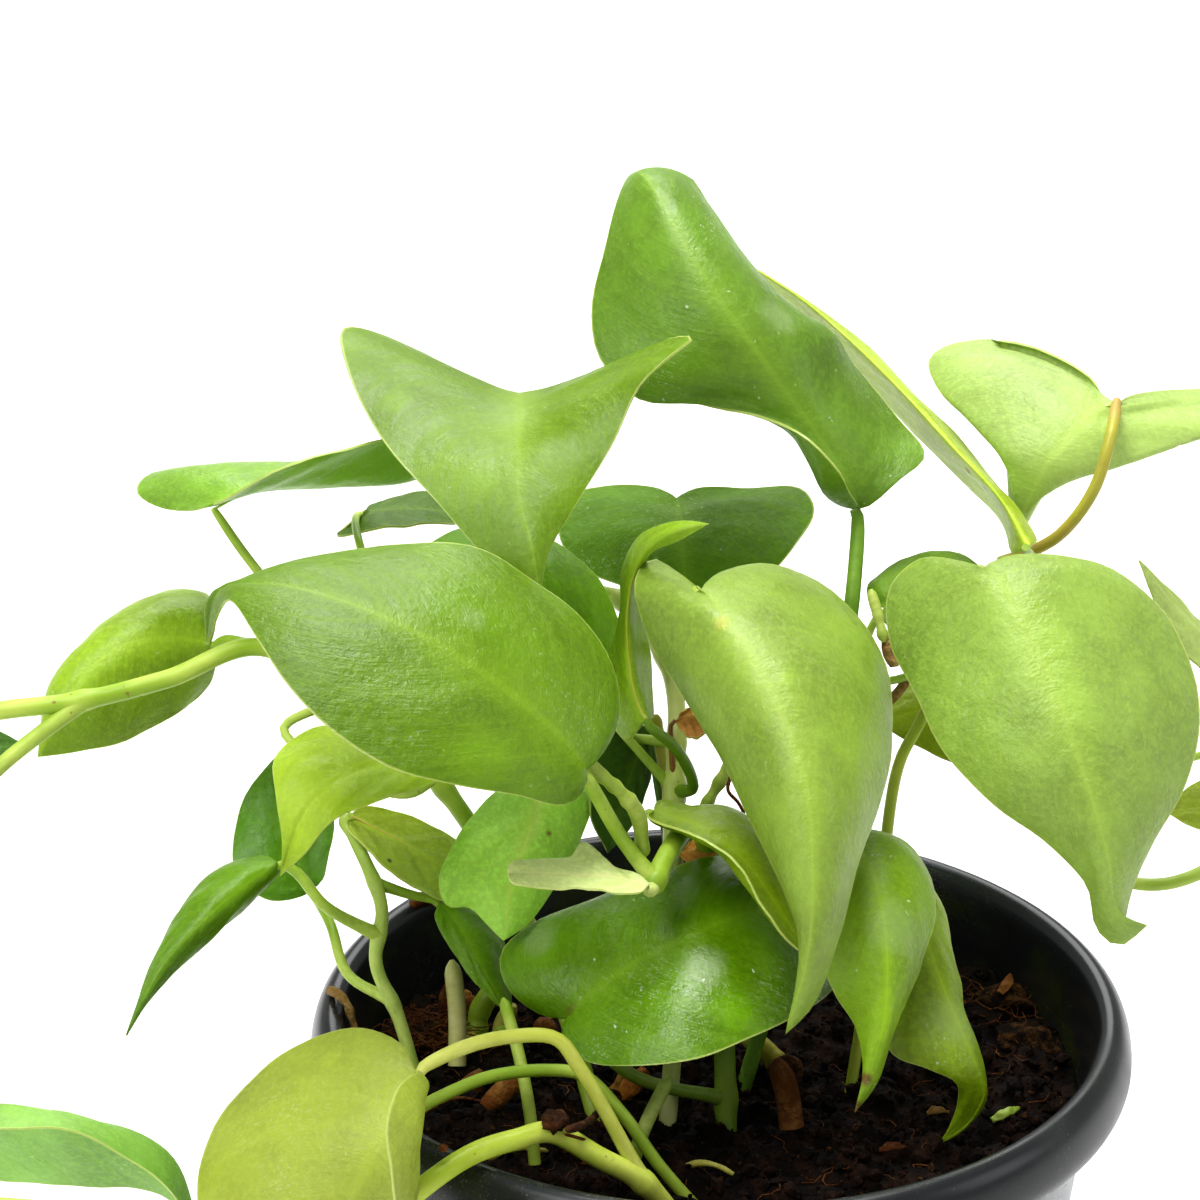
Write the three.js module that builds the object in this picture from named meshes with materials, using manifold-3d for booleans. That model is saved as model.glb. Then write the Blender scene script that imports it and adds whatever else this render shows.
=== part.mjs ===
// Potted heartleaf philodendron, standing in a round nursery pot.
// Millimetres, +Z up. The origin is the middle of the pot's flat underside.
import * as THREE from 'three';
import { mergeVertices } from 'three/addons/utils/BufferGeometryUtils.js';
import Module from 'manifold-3d';

const wasm = await Module();
wasm.setup();

// Pot and soil
const POT_HEIGHT = 135;
const POT_BASE_RADIUS = 54;
const POT_NECK_RADIUS = 71;
const LIP_RADIUS = 78;
const LIP_FOOT = POT_HEIGHT - 12;
const ROUNDING = 1.5;
const WALL = 1.8;
const FLOOR = 2.4;
const POT_SIDES = 40;
const DRAIN_HOLES = 6;
const DRAIN_RADIUS = 4.5;
const DRAIN_RING = 38;
const DRAIN_SIDES = 12;
const SOIL_LEVEL = 118;
const SOIL_RELIEF = 1.3;
const SOIL_RINGS = [1, 0.8, 0.58, 0.34];

// The rolled lip, [radius, height] from its lower outer edge over the ridge
const LIP_PROFILE = [[77.2, 122.6], [LIP_RADIUS, 124.5], [77.8, 130], [76.5, 133.3], [74.4, 134.9],
  [72.6, 134.4], [71.4, 132.5]];

// Lumps of the soil: how fast each wave runs along x and y
const SOIL_WAVES = [[0.31, 0.17], [-0.12, 0.27], [0.7, 0.9]];
const SOIL_SHOULDER = 3;

// Space left between neighbours, and the distance within which corners are one
const GAP = 0.3;
const WELD = 1e-4;

// Leaves: the blade's thickness, its rows from the sinus to the tip, and how
// far the rows fan out from the sinus. Each half has this many columns, and one
// less on a leaf with a rib shorter than LONG_RIB.
const BLADE = 0.8;
const ROWS = 10;
const COLUMNS = 3;
const LONG_RIB = 42;
const RIB_SPREAD = 1.5;

// A stalk ends this share of its radius under the rib. It meets the rib's line
// this far before the rib starts, and runs on this far along it.
const STALK_DROP = 0.5;
const STALK_LEAD = 1;
const STALK_OVERLAP = 3;

// Stalks and vines
const TUBE_SIDES = 6;
const TUBE_STEP = 9;

// The plant is laid out as seen from the front and above. A place is
// [across, up, near] from the view's middle, and near points at the eye.
const VIEW_TILT = THREE.MathUtils.degToRad(24.5);
const VIEW_MIDDLE = new THREE.Vector3(-23, 32, POT_HEIGHT + 70);
const ACROSS = new THREE.Vector3(1, 0, 0);
const UP = new THREE.Vector3(0, Math.sin(VIEW_TILT), Math.cos(VIEW_TILT));
const NEAR = new THREE.Vector3(0, -Math.cos(VIEW_TILT), Math.sin(VIEW_TILT));

const DEEP_GREEN = 0x2f5a1e;
const MID_GREEN = 0x4c7a2a;
const LIGHT_GREEN = 0x7fa83a;
const LIME = 0xa3bd4a;
const STEM_GREEN = 0x8a9a4a;
const STEM_PALE = 0xc9c88a;
const SHEATH_CREAM = 0xe2d7ab;
const BARK_BROWN = 0x7a5532;
const DRY_BROWN = 0x9a6a3c;
const DRY_ORANGE = 0xc9853f;
const POT_BLACK = 0x1c1c1e;
const SOIL_BROWN = 0x2b2019;

// Vines: stems from their root in the soil, or from their lower end, to the tip.
const VINES = [
  { name: 'vine_left', radius: 1.9, colour: STEM_GREEN,
    path: [[2, -108, 5], [-10, -70, -5], [-35, -30, -6], [-64, -9, 2], [-82, -15, 5], [-98, -19, 6],
      [-114, -21, 6], [-128, -24, 4]] },
  { name: 'vine_low_left', radius: 1.3, colour: STEM_GREEN,
    path: [[-34, -92, 10], [-38, -78, 12], [-42, -68, 14], [-41, -58, 12], [-46, -46, 5], [-49, -41, -1]] },
  { name: 'vine_centre', radius: 1.8, colour: STEM_PALE,
    path: [[12, -108, 6], [14, -80, 6], [14, -40, 4], [14, -16, 0], [9.5, -6, -5], [2, 2, -8]] },
  { name: 'vine_middle', radius: 2.1, colour: STEM_GREEN,
    path: [[24, -104, 8], [23, -72, 5], [21, -50, 6], [18, -42, 16], [13, -46, 32], [9, -53, 42]] },
  { name: 'vine_tall', radius: 1.6, colour: STEM_GREEN,
    path: [[24, -106, -8], [34, -70, -6], [42, -38, 0], [47, -6, 4]] },
  { name: 'vine_right', radius: 1.2, colour: STEM_GREEN,
    path: [[46, -104, -2], [53, -62, -8], [57, -32, -6], [61, -24, -8], [70, -8, -14], [78, 8, -12]] },
  { name: 'vine_front', radius: 2.1, colour: STEM_GREEN,
    path: [[17, -118, 34], [8, -106, 43], [0, -101, 48], [-9, -96, 51], [-15, -97, 54], [-22, -99, 56],
      [-29, -103, 59], [-36, -109, 61], [-40, -116, 62]] },
  { name: 'vine_front_thin', radius: 1.25, colour: STEM_GREEN,
    path: [[22, -117, 28], [11, -104, 34], [4, -94, 37], [-3, -87, 38], [-10, -86, 38], [-20, -87, 40],
      [-28, -90, 42], [-36, -94, 44]] },
  { name: 'vine_trailing', radius: 1.1, colour: STEM_GREEN,
    path: [[-44, -120, 62], [-60, -115, 66], [-78, -110, 68], [-94, -108, 66], [-112, -107, 62],
      [-124, -105, 58]] },
  { name: 'shoot_near', radius: 1.25, colour: STEM_GREEN,
    path: [[-12, -104, 30], [-13, -94, 31], [-15, -84, 28], [-18, -74, 22]] },
  { name: 'shoot_middle', radius: 1.4, colour: STEM_GREEN,
    path: [[5, -108, 26], [8, -98, 28], [13, -88, 26]] },
  { name: 'shoot_pale', radius: 1.8, colour: STEM_PALE,
    path: [[-27, -88, 6], [-27, -78, 6], [-28, -68, 6]] },
  { name: 'cut_stub', radius: 2.5, colour: BARK_BROWN,
    path: [[36, -99, 12], [35, -92, 13], [33, -86, 14]] },
];

// Leaves: the rib from the sinus to the tip, then the margins to its left and
// right with the tip up and the upper face in view. Camber [left, right] is
// how far each half arches to its upper face. The stalk leaves a vine at the
// joint, a share of the vine's length.
const LEAVES = [
  { name: 'leaf_top', colour: DEEP_GREEN, vine: 'vine_tall', joint: 0.97, stalkRadius: 1.6,
    camber: [[-0.5, 0, 0], 0.1],
    stalk: [[48, 2, 3]],
    rib: [[49.5, 17.5, -1], [43, 27.5, 4], [30, 46.5, 9], [23, 56.5, 9], [16.5, 67, 6], [10, 79, -2],
      [7, 82.5, -14], [9.5, 78, -26]],
    left: [[47, 20.5, 8], [44.5, 24.5, 15], [38.5, 30.5, 15], [30, 34, 6], [19, 37, 3], [7.5, 38, 1],
      [0, 46, -3], [-1.5, 55.5, -6], [1, 67, -8], [4, 78.5, -12], [6.5, 82.5, -20]],
    right: [[52, 18.5, 1], [57, 23, 1], [62, 27.5, -4], [57, 34.5, -12], [49, 45, -12], [45, 51.5, -6],
      [35.5, 57.5, -14], [29, 65, -18], [21.5, 76, -18], [16.5, 82.5, -20]] },
  { name: 'leaf_edge_on', colour: LIME, vine: 'vine_right', joint: 0.97, stalkRadius: 1.2,
    camber: [0, 0],
    stalk: [[82, 6.5, -2]],
    rib: [[80.5, 10, 13], [75.5, 19, 9], [67.5, 29, -2], [58.5, 40, -13], [48.5, 51, -24],
      [39.5, 59.5, -34], [29.5, 66.5, -44]],
    left: [[82.5, 11.5, 6], [79.5, 17.5, 0], [74.5, 24, -12], [62.5, 39.5, -27], [55, 47.5, -35],
      [42.5, 58, -42]],
    right: [[78, 9, 4], [77, 14, -3], [71, 23, -18], [61.5, 32.5, -30], [53.5, 42, -38],
      [41.5, 55.5, -43]] },
  { name: 'leaf_upper_right', colour: LIGHT_GREEN, vine: 'vine_right', joint: 0.99, stalkRadius: 1.3,
    camber: [-0.1, -0.1],
    stalk: [[87.5, 12.5, 0], [93.5, 21, 5], [96.6, 31, 5]],
    rib: [[98.5, 37.5, -6], [90.5, 31.5, 0], [84.5, 24.5, 0], [81.5, 17, -6], [80.5, 11.5, -14]],
    left: [[95, 40, -12], [87.5, 45.5, -20], [78.5, 49, -27], [69.5, 50, -31], [64.5, 47.5, -30],
      [67, 39, -18], [74, 34, -10], [77.5, 27.5, -6], [78.5, 19, -9]],
    right: [[103, 39.5, -14], [117, 41, -26], [130, 41.5, -34], [135, 37.5, -30], [125, 33.5, -18],
      [111.5, 30.5, -9], [97.5, 29, -4], [88.5, 26.5, -3], [84.5, 20.5, -8]] },
  { name: 'leaf_wing', colour: LIGHT_GREEN, vine: 'vine_centre', joint: 0.98, stalkRadius: 1.3,
    camber: [0, 0],
    stalk: [[-7.5, 5, -15], [-16.5, 19.5, -17], [-18, 33.5, -10]],
    rib: [[-15.5, 39.5, -4], [-15, 33.5, 14], [-15, 27, 24], [-15, 19.5, 30], [-12.5, 10, 34],
      [-11, 1, 35]],
    left: [[-11.8, 39.9, -3.5], [-6.5, 41.2, -2], [4, 45, 5], [12.5, 48.5, 15], [17.5, 48.5, 20],
      [12.5, 45, 24], [7.5, 40, 25],
      [2.5, 29, 27], [-4.5, 17.5, 30], [-9.5, 8.5, 33]],
    right: [[-19.2, 39.9, -5.5], [-24.5, 42, -8], [-34.5, 47.5, -10], [-44, 51.5, -8], [-49, 51.5, -2],
      [-48, 44.5, 8],
      [-40, 29, 20], [-30.5, 18.5, 27], [-20, 7, 32]] },
  { name: 'leaf_far_left', colour: MID_GREEN, vine: 'vine_left', joint: 0.5, stalkRadius: 1.0,
    camber: [0.1, 0],
    stalk: [[-66.5, 7.5, 2]],
    rib: [[-73, 18, 8], [-64.5, 19.5, 10], [-51.5, 19.5, 6], [-39, 20.5, 0], [-30.5, 25, -6]],
    left: [[-76.5, 17, 6], [-83.5, 17.5, 0], [-88.5, 20.5, -6], [-86.5, 24, -12], [-75, 25.5, -18],
      [-61, 26, -20], [-49.5, 29, -18], [-37.5, 31, -13]],
    right: [[-71, 18.5, 14], [-65.5, 21.5, 18], [-57.5, 25, 20], [-49, 28, 18], [-40.5, 30, 11],
      [-34, 29, 2]] },
  { name: 'leaf_small_upper', colour: MID_GREEN, vine: 'vine_left', joint: 0.42, stalkRadius: 0.9,
    camber: [0, 0],
    stalk: [[-46, 10, -11]],
    rib: [[-46, 17.5, -30], [-39, 18, -32], [-31.5, 17.5, -36], [-24, 16.5, -42]],
    left: [[-45, 18.5, -36], [-38, 21, -42], [-30, 21, -46]],
    right: [[-48.5, 15.5, -29], [-51.5, 12.5, -28], [-45, 13.5, -24], [-37, 14.5, -25], [-29, 15, -32]] },
  { name: 'leaf_centre', colour: MID_GREEN, vine: 'vine_middle', joint: 0.97, stalkRadius: 1.5,
    camber: [0.12, 0.1],
    stalk: [[4, -43.5, 42]],
    rib: [[-2.5, -30.5, 56], [-10.5, -22, 60], [-21.5, -13, 63], [-34, -5.5, 64], [-46, -0.5, 62],
      [-59, 2.5, 57], [-68.5, 2, 50], [-71.5, -8, 43]],
    left: [[-3, -34, 58], [-7, -36.5, 63], [-15, -34.5, 69], [-25.5, -32.5, 75], [-36.5, -29.5, 78],
      [-47, -23, 77], [-55, -15, 74], [-61, -6.5, 68], [-66.5, 0, 58]],
    right: [[0, -28, 53], [3, -21.5, 48], [2, -12.5, 43], [-4, -2.5, 40], [-13, 4, 39], [-23.5, 9.5, 40],
      [-35.5, 10, 41], [-46.5, 8.5, 43], [-56, 7, 46], [-65, 3.5, 49], [-71, 0.5, 47]] },
  { name: 'leaf_dark_left', colour: DEEP_GREEN, vine: 'vine_left', joint: 0.62, stalkRadius: 1.0,
    camber: [0.1, 0.15],
    stalk: [[-71.5, -7.5, -9]],
    rib: [[-75, -8.5, -12], [-82.5, -7.5, -8], [-90, -8, -5], [-96.5, -12, -4], [-102.5, -20, -4],
      [-107.5, -30, -6]],
    left: [[-74.5, -13, -18], [-77.5, -18.5, -20], [-84, -23, -17], [-92.5, -27.5, -13], [-101, -29, -9]],
    right: [[-74.5, -4, -18], [-76.5, 1, -24], [-85, 1.5, -26], [-93.5, -3, -23], [-99.5, -8.5, -18],
      [-105.5, -16, -12]] },
  { name: 'leaf_outer_left', colour: DEEP_GREEN, vine: 'vine_left', joint: 0.98, stalkRadius: 0.8,
    camber: [0, 0],
    stalk: [[-128.5, -26, -4]],
    rib: [[-127, -28, -8], [-118.5, -28.5, -6], [-110, -27.5, -4]],
    left: [[-127, -24.5, -12], [-119, -24, -10], [-114, -25.5, -6]],
    right: [[-126, -31.5, -6], [-118.5, -33.5, -4], [-113.5, -32, -4]] },
  { name: 'leaf_lime_left', colour: LIME, vine: 'vine_left', joint: 0.55, stalkRadius: 1.0,
    camber: [0.1, 0.1],
    stalk: [[-60, -24.5, 2], [-48, -33, 6], [-36, -36.5, 10]],
    rib: [[-27, -29.5, 15], [-36, -30.5, 27], [-45.5, -32.5, 36], [-52.5, -37.5, 40], [-56, -44, 40],
      [-58.5, -50.5, 38]],
    left: [[-26.5, -32.5, 20], [-31.5, -34, 29], [-41, -37, 39], [-48.5, -40, 43], [-53.5, -46, 42]],
    right: [[-29, -25.5, 10], [-37.5, -23.5, 10], [-47.5, -23.5, 18], [-55.5, -25, 28], [-60, -29.5, 34],
      [-59, -36.5, 38], [-58, -44.5, 40]] },
  { name: 'leaf_round_left', colour: DEEP_GREEN, vine: 'vine_low_left', joint: 0.3, stalkRadius: 1.1,
    camber: [0.1, 0.1],
    stalk: [[-47.5, -70.5, 9], [-51, -61.5, 4]],
    rib: [[-55, -55, -4], [-59, -47.5, -4], [-61.5, -39.5, -8], [-59.5, -32, -13], [-57, -26, -18]],
    left: [[-57, -56.5, -1], [-63, -57, 1], [-69, -52.5, 0], [-70, -46, -3], [-68.5, -39, -8],
      [-64, -32, -13]],
    right: [[-53, -53.5, -2], [-51.5, -47, -5], [-51, -40.5, -10], [-52.5, -33, -15]] },
  { name: 'leaf_low_left', colour: MID_GREEN, vine: 'vine_low_left', joint: 0.52, stalkRadius: 1.2,
    camber: [0.1, 0.1],
    stalk: [[-51.5, -57, 18], [-56.5, -51, 18]],
    rib: [[-60, -49, 20], [-66.5, -53.5, 26], [-73.5, -59.5, 31], [-80, -66.5, 33], [-83.5, -73, 34],
      [-87, -80, 34]],
    left: [[-60.5, -51.5, 14], [-65.5, -56.5, 17], [-72, -63, 24], [-79.5, -69.5, 30], [-84, -75, 33]],
    right: [[-64, -48, 13], [-70, -49.5, 13], [-75.5, -54, 18], [-80, -60.5, 24], [-83, -68, 30]] },
  { name: 'leaf_under', colour: DEEP_GREEN, vine: 'vine_low_left', joint: 0.96, stalkRadius: 1.0,
    camber: [0, 0],
    stalk: [],
    rib: [[-47.5, -41.5, 2], [-40, -45, 1], [-32, -49.5, 3], [-23, -56, 6]],
    left: [[-48, -43, 5], [-43, -48, 9], [-37.5, -52.5, 10], [-30, -56.5, 9]],
    right: [[-46, -39.5, 0], [-38.5, -40.5, -3], [-32, -43, -3], [-26, -47.5, 0]] },
  { name: 'leaf_shade', colour: DEEP_GREEN, vine: 'vine_low_left', joint: 0.7, stalkRadius: 1.0,
    camber: [0.1, 0.1],
    stalk: [[-36, -55.5, 8]],
    rib: [[-30, -57, 8], [-25.5, -63, 12], [-21.5, -70.5, 14], [-16.5, -78.5, 14]],
    left: [[-27.5, -56.5, 4], [-21.5, -59.5, 1], [-18, -65.5, 4], [-17, -72.5, 10]],
    right: [[-31, -59.5, 10], [-29, -64, 12], [-23.5, -71.5, 14]] },
  { name: 'leaf_lime_centre', colour: LIME, vine: 'vine_centre', joint: 0.7, stalkRadius: 1.0,
    camber: [0.1, 0.1],
    stalk: [[-2, -26.5, 0]],
    rib: [[-10, -33, 4], [-13, -42.5, 12], [-16.5, -52.5, 18], [-18, -63.5, 20]],
    left: [[-4, -34, 0], [-2, -39, 2], [-4.5, -47, 7], [-9, -54, 12], [-13, -60, 17]],
    right: [[-15, -33.5, 6], [-20.5, -37, 9], [-26.5, -44, 14], [-30, -52.5, 17], [-28.5, -57, 17],
      [-24.5, -57.5, 17], [-21, -60.5, 18]] },
  { name: 'leaf_low_dark', colour: DEEP_GREEN, vine: 'vine_middle', joint: 0.1, stalkRadius: 1.4,
    camber: [0.1, 0.1],
    stalk: [[6, -88.5, 20]],
    rib: [[-6, -77.5, 26], [5.5, -68, 31], [18.5, -61, 30], [31.5, -58, 20], [46.5, -66, 6]],
    left: [[-11, -77, 22], [-17, -72.5, 19], [-18.5, -66.5, 16], [-13, -60.5, 14], [-2.5, -56.5, 13],
      [9.5, -52.5, 12], [21.5, -48.5, 11], [35, -50.5, 8], [43.5, -57.5, 6]],
    right: [[-7, -80, 29], [-2, -84.5, 38], [7.5, -84.5, 45], [18, -83, 47], [27, -80, 42],
      [36, -76.5, 32], [43.5, -72.5, 18]] },
  { name: 'leaf_big', colour: LIGHT_GREEN, vine: 'vine_centre', joint: 0.85, stalkRadius: 1.4,
    camber: [0.1, 0.1],
    stalk: [[15.5, -4, 14]],
    rib: [[18.5, 2, 32], [24.5, -6.5, 42], [31.5, -18, 51], [37, -34, 57], [38, -50, 58], [37, -64.5, 55],
      [33.5, -78.5, 49]],
    left: [[22.5, 5, 24], [32, 6.5, 13], [41.5, 3, 12], [49, -4, 14], [53.5, -14, 20], [54, -25, 27],
      [51.5, -35.5, 36], [47, -47.5, 43], [43, -60.5, 49], [38.5, -73, 50]],
    right: [[15, 4.5, 24], [9.5, 7.5, 19], [6.5, 3, 24], [9.5, -7, 25], [16.5, -19.5, 30],
      [24.5, -33.5, 38], [31, -47.5, 45], [36, -60.5, 50], [35.5, -70.5, 50]] },
  { name: 'leaf_grey', colour: LIGHT_GREEN, vine: 'vine_centre', joint: 0.62, stalkRadius: 1.2,
    camber: [0, 0],
    stalk: [[17.4, -35.5, 9], [16.5, -31.5, 13.5], [13.5, -27, 18]],
    rib: [[8.5, -22.5, 22], [6, -15, 20], [5, -5.5, 18], [6, 3, 20], [8.5, 9, 26], [13.5, 12.5, 32],
      [20, 14, 34]],
    left: [[10, -21.5, 16], [9.5, -15, 9], [8, -4.5, 7], [7.5, 4, 12], [10, 9, 25], [15.5, 11.5, 32]],
    right: [[5, -26, 18], [2.5, -22.5, 12], [2, -12.5, 7], [3.5, -2.5, 6], [4.5, 6.5, 15], [7.5, 12, 23],
      [14.5, 14.5, 31]] },
  { name: 'leaf_back_dark', colour: DEEP_GREEN, vine: 'vine_tall', joint: 0.9, stalkRadius: 1.1,
    camber: [0, 0],
    stalk: [[27.5, 8, -28], [18.5, 15.5, -34]],
    rib: [[15, 20, -32], [15.5, 13.5, -24], [16.5, 4, -18], [17.5, -6.5, -14]],
    left: [[19.5, 22, -35], [29.5, 22, -37], [39.5, 21.5, -35], [42, 17.5, -31], [38, 10.5, -25],
      [30, 2, -19], [21.5, -5, -15]],
    right: [[11, 22, -35], [2, 22.5, -36], [-6, 20, -32], [-8, 12.5, -27], [-3.5, 6, -23], [6, 2, -19],
      [13, -4, -15]] },
  { name: 'leaf_mid_dark', colour: DEEP_GREEN, vine: 'vine_centre', joint: 0.62, stalkRadius: 1.0,
    camber: [0.1, 0.1],
    stalk: [],
    rib: [[0, -19, 4], [-7.5, -5.5, 10], [-18, 4, 8], [-26, 8.5, 0], [-33, 10.5, -8]],
    left: [[-3, -21, 8], [-11, -17, 15], [-20.5, -8, 17], [-28, 1, 10]],
    right: [[2.5, -16, 1], [3.5, -5.5, -2], [0, 3.5, -3], [-7.5, 10.5, -6], [-17.5, 14, -10],
      [-27, 13.5, -11]] },
  { name: 'leaf_right', colour: LIGHT_GREEN, vine: 'vine_right', joint: 0.75, stalkRadius: 1.4,
    camber: [0.08, 0.08],
    stalk: [[66, -14, 8], [70.5, -3.5, 22]],
    rib: [[70.5, 6, 32], [75.5, -0.5, 39], [79, -9, 43], [84, -21, 47], [89, -36, 48], [92, -47, 46],
      [94, -55.5, 42], [100, -59.5, 38]],
    left: [[75.5, 8, 29], [86, 8, 25], [96, 5.5, 21], [104.5, -2, 20], [109.5, -12, 22], [110.5, -23, 27],
      [107.5, -34.5, 33], [101.5, -44, 37], [97, -53.5, 38], [96.3, -61.2, 37.3]],
    right: [[67, 7, 27], [59.5, 7.5, 20], [54, 2, 17], [54, -7.5, 19], [58, -16.5, 26], [64.5, -29, 34],
      [72, -37.5, 39], [82, -44.5, 41], [89, -52, 40], [91, -60.2, 37.5], [95, -63.2, 37]] },
  { name: 'leaf_behind_right', colour: MID_GREEN, vine: 'vine_right', joint: 0.85, stalkRadius: 0.9,
    camber: [0.1, 0.1],
    stalk: [[59, -14.5, -5], [53, -15, -2], [50.5, -9, 0]],
    rib: [[54, -1.5, 3], [60.5, 1, 3], [67.5, 1.5, -1], [76.5, -2, -8]],
    left: [[52, -1, -1], [51, 3, -3], [56.5, 7, -7], [63.5, 9.5, -10], [70.5, 8, -11], [75.5, 3.5, -10]],
    right: [[53.5, -4, 7], [58.5, -6.5, 7], [65.5, -7, 3], [72.5, -5.5, -4]] },
  { name: 'leaf_edge_tip', colour: DEEP_GREEN, vine: 'vine_right', joint: 0.78, stalkRadius: 1.4,
    camber: [0, 0],
    stalk: [[72, -27, -10], [84, -38, -6], [93, -48, 0], [99, -53, 4], [108, -53.5, 5],
      [120.5, -47.5, 0], [131.5, -30.5, -4]],
    rib: [[125, -13, -3], [116.5, -8, 3], [108.5, -1, 8], [101.5, 7.5, 10]],
    left: [[123.5, -16, 0], [117.5, -15.5, 8], [111, -11, 11], [105, -1.5, 12]],
    right: [[128, -10.5, -8], [124.5, -6.5, -8], [115, -4, 0], [107, 2.5, 7]] },
  { name: 'leaf_edge_low', colour: DEEP_GREEN, vine: 'vine_right', joint: 0.9, stalkRadius: 0.9,
    camber: [0, 0],
    stalk: [[82, -16, -8], [95, -25, -8], [108, -31, -14], [122.5, -30, -24]],
    rib: [[133, -38.5, -12], [124.5, -38.5, -7], [115.5, -39.5, -4], [108, -40.5, -4]],
    left: [[131.5, -43.5, -10], [122.5, -45, -5], [113.5, -43.5, -3]],
    right: [[132, -34.5, -16], [122, -33.5, -12], [113, -35.5, -6]] },
  { name: 'leaf_drop_near', colour: LIGHT_GREEN, vine: 'vine_right', joint: 0.45, stalkRadius: 1.1,
    camber: [0.1, 0.1],
    stalk: [[50, -47, 8]],
    rib: [[46, -43, 22], [50.5, -50.5, 31], [52.5, -62, 38], [52, -75, 41], [49, -86, 41],
      [46.5, -93.5, 40]],
    left: [[51, -43, 16], [57, -45, 15], [61.5, -51, 18], [62, -57.5, 23], [59, -67, 30], [54.5, -77, 36],
      [51, -87.5, 39]],
    right: [[43.5, -45, 22], [40.5, -52, 26], [40, -60.5, 32], [43, -72, 36], [47, -78.5, 38],
      [48, -87.5, 40]] },
  { name: 'leaf_drop_far', colour: LIGHT_GREEN, vine: 'vine_right', joint: 0.35, stalkRadius: 1.1,
    camber: [0.1, 0.1],
    stalk: [],
    rib: [[59, -53.5, 8], [62, -65.5, 15], [66, -76.5, 20], [69.5, -85, 22], [71.5, -90.5, 21],
      [69.5, -96.5, 18], [63, -102, 16]],
    left: [[62, -53.5, 3], [64.5, -58, 3], [66.5, -67, 8], [68.5, -76.5, 14], [71.5, -87.5, 19],
      [72, -93.5, 19], [68, -99, 17]],
    right: [[56.5, -54, 8], [53.5, -62, 12], [52, -72.5, 19], [54, -84, 24], [61, -87, 25],
      [66, -89.5, 24], [66.5, -94, 20], [65, -99, 17]] },
  { name: 'leaf_rolled', colour: DEEP_GREEN, vine: 'vine_centre', joint: 0.57, stalkRadius: 1.1,
    camber: [0.15, -0.2],
    stalk: [],
    rib: [[10, -39, 24], [18.5, -42, 31], [26.5, -48, 36], [33, -57, 41], [38, -65, 44]],
    left: [[11.5, -37.5, 18], [19.5, -41, 13], [27, -41.5, 12], [33.5, -46.5, 17], [36.5, -56, 30]],
    right: [[9, -40, 30], [16.5, -43, 38], [23, -46.5, 42], [28, -53.5, 45], [34, -61.5, 46]] },
  { name: 'leaf_front_lime', colour: LIME, vine: 'vine_front', joint: 0.22, stalkRadius: 1.5,
    camber: [-0.42, 0.08],
    stalk: [[-4, -84, 50], [-8, -79, 52], [-16, -78.5, 54], [-24, -80, 58]],
    rib: [[-33, -83.5, 64], [-36.5, -90.5, 69], [-40.5, -98, 71], [-45, -108.5, 69], [-49.5, -119, 64],
      [-54, -131, 56]],
    left: [[-32.5, -83.5, 72], [-35.5, -85.5, 80], [-37, -92, 86], [-36, -101, 87], [-35.5, -110, 82],
      [-41.5, -122, 70]],
    right: [[-35.5, -79.5, 60], [-43, -77, 55], [-52, -79.5, 51], [-61, -85, 49], [-69, -94.5, 49],
      [-72.5, -104.5, 52], [-71, -115, 55], [-63.5, -125.5, 57]] },
  { name: 'leaf_front_left', colour: LIGHT_GREEN, vine: 'vine_left', joint: 0.84, stalkRadius: 1.7,
    camber: [0, 0.1],
    stalk: [[-117.5, -36, 8], [-123.5, -50.5, 14], [-130.5, -70, 28], [-131, -84, 40]],
    rib: [[-122, -90, 46], [-108.5, -91, 50], [-95.5, -92.5, 52], [-84.5, -94.5, 51], [-77.5, -99.5, 48],
      [-74.5, -108, 44], [-73.5, -117.5, 40]],
    left: [[-125, -93.5, 38], [-119.5, -102, 33], [-110.5, -106.5, 33], [-97.5, -107.5, 34],
      [-84.5, -108, 36], [-77.5, -110.5, 39]],
    right: [[-123.5, -91.5, 52], [-116, -94.5, 60], [-107, -94, 63], [-96, -94, 63], [-87, -98.5, 60],
      [-79.5, -104, 55], [-75, -111.5, 47]] },
  { name: 'sheath_cream', colour: SHEATH_CREAM, vine: 'vine_middle', joint: 0.995, stalkRadius: 1.2,
    camber: [0, 0],
    stalk: [],
    rib: [[9, -51.5, 46], [0, -50, 49], [-8, -49.4, 51], [-16.8, -49.4, 50]],
    left: [[7, -53, 50], [0, -52.2, 53], [-8, -51.8, 54], [-15.5, -51, 53]],
    right: [[6.5, -49.8, 44], [2.7, -48.8, 43], [-0.4, -45.9, 42], [-3.1, -44.2, 42], [-5.1, -46.8, 43],
      [-10.9, -46.8, 46], [-16.4, -47.6, 50]] },
  { name: 'leaf_shade_right', colour: DEEP_GREEN, vine: 'vine_right', joint: 0.84, stalkRadius: 0.9,
    camber: [0, 0],
    stalk: [],
    rib: [[76, -19, -22], [68, -20, -20], [61, -21.5, -18], [54, -24, -18]],
    left: [[75, -25, -20], [69, -31.5, -17], [64, -29.5, -16], [59, -27, -17]],
    right: [[75, -14.5, -26], [65, -15, -24], [57.5, -18, -21]] },
  { name: 'dry_leaf_upper', colour: DRY_BROWN, vine: 'vine_centre', joint: 0.62, stalkRadius: 0.6,
    camber: [0.2, 0.2],
    stalk: [],
    rib: [[14.5, -23, 7], [17.5, -21.5, 11], [21, -24, 12]],
    left: [[15, -24.5, 10], [18, -26, 13]],
    right: [[15.5, -21, 8], [19, -20, 10]] },
  { name: 'dry_leaf_lower', colour: DRY_ORANGE, vine: 'vine_centre', joint: 0.54, stalkRadius: 0.6,
    camber: [-0.2, 0.2],
    stalk: [],
    rib: [[14.5, -47.5, 9], [19, -46.5, 8], [23, -45.5, 8]],
    left: [[17, -46, 5], [20.5, -44.5, 5]],
    right: [[16.5, -49.5, 10], [20.5, -49.5, 10]] },
];

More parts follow.
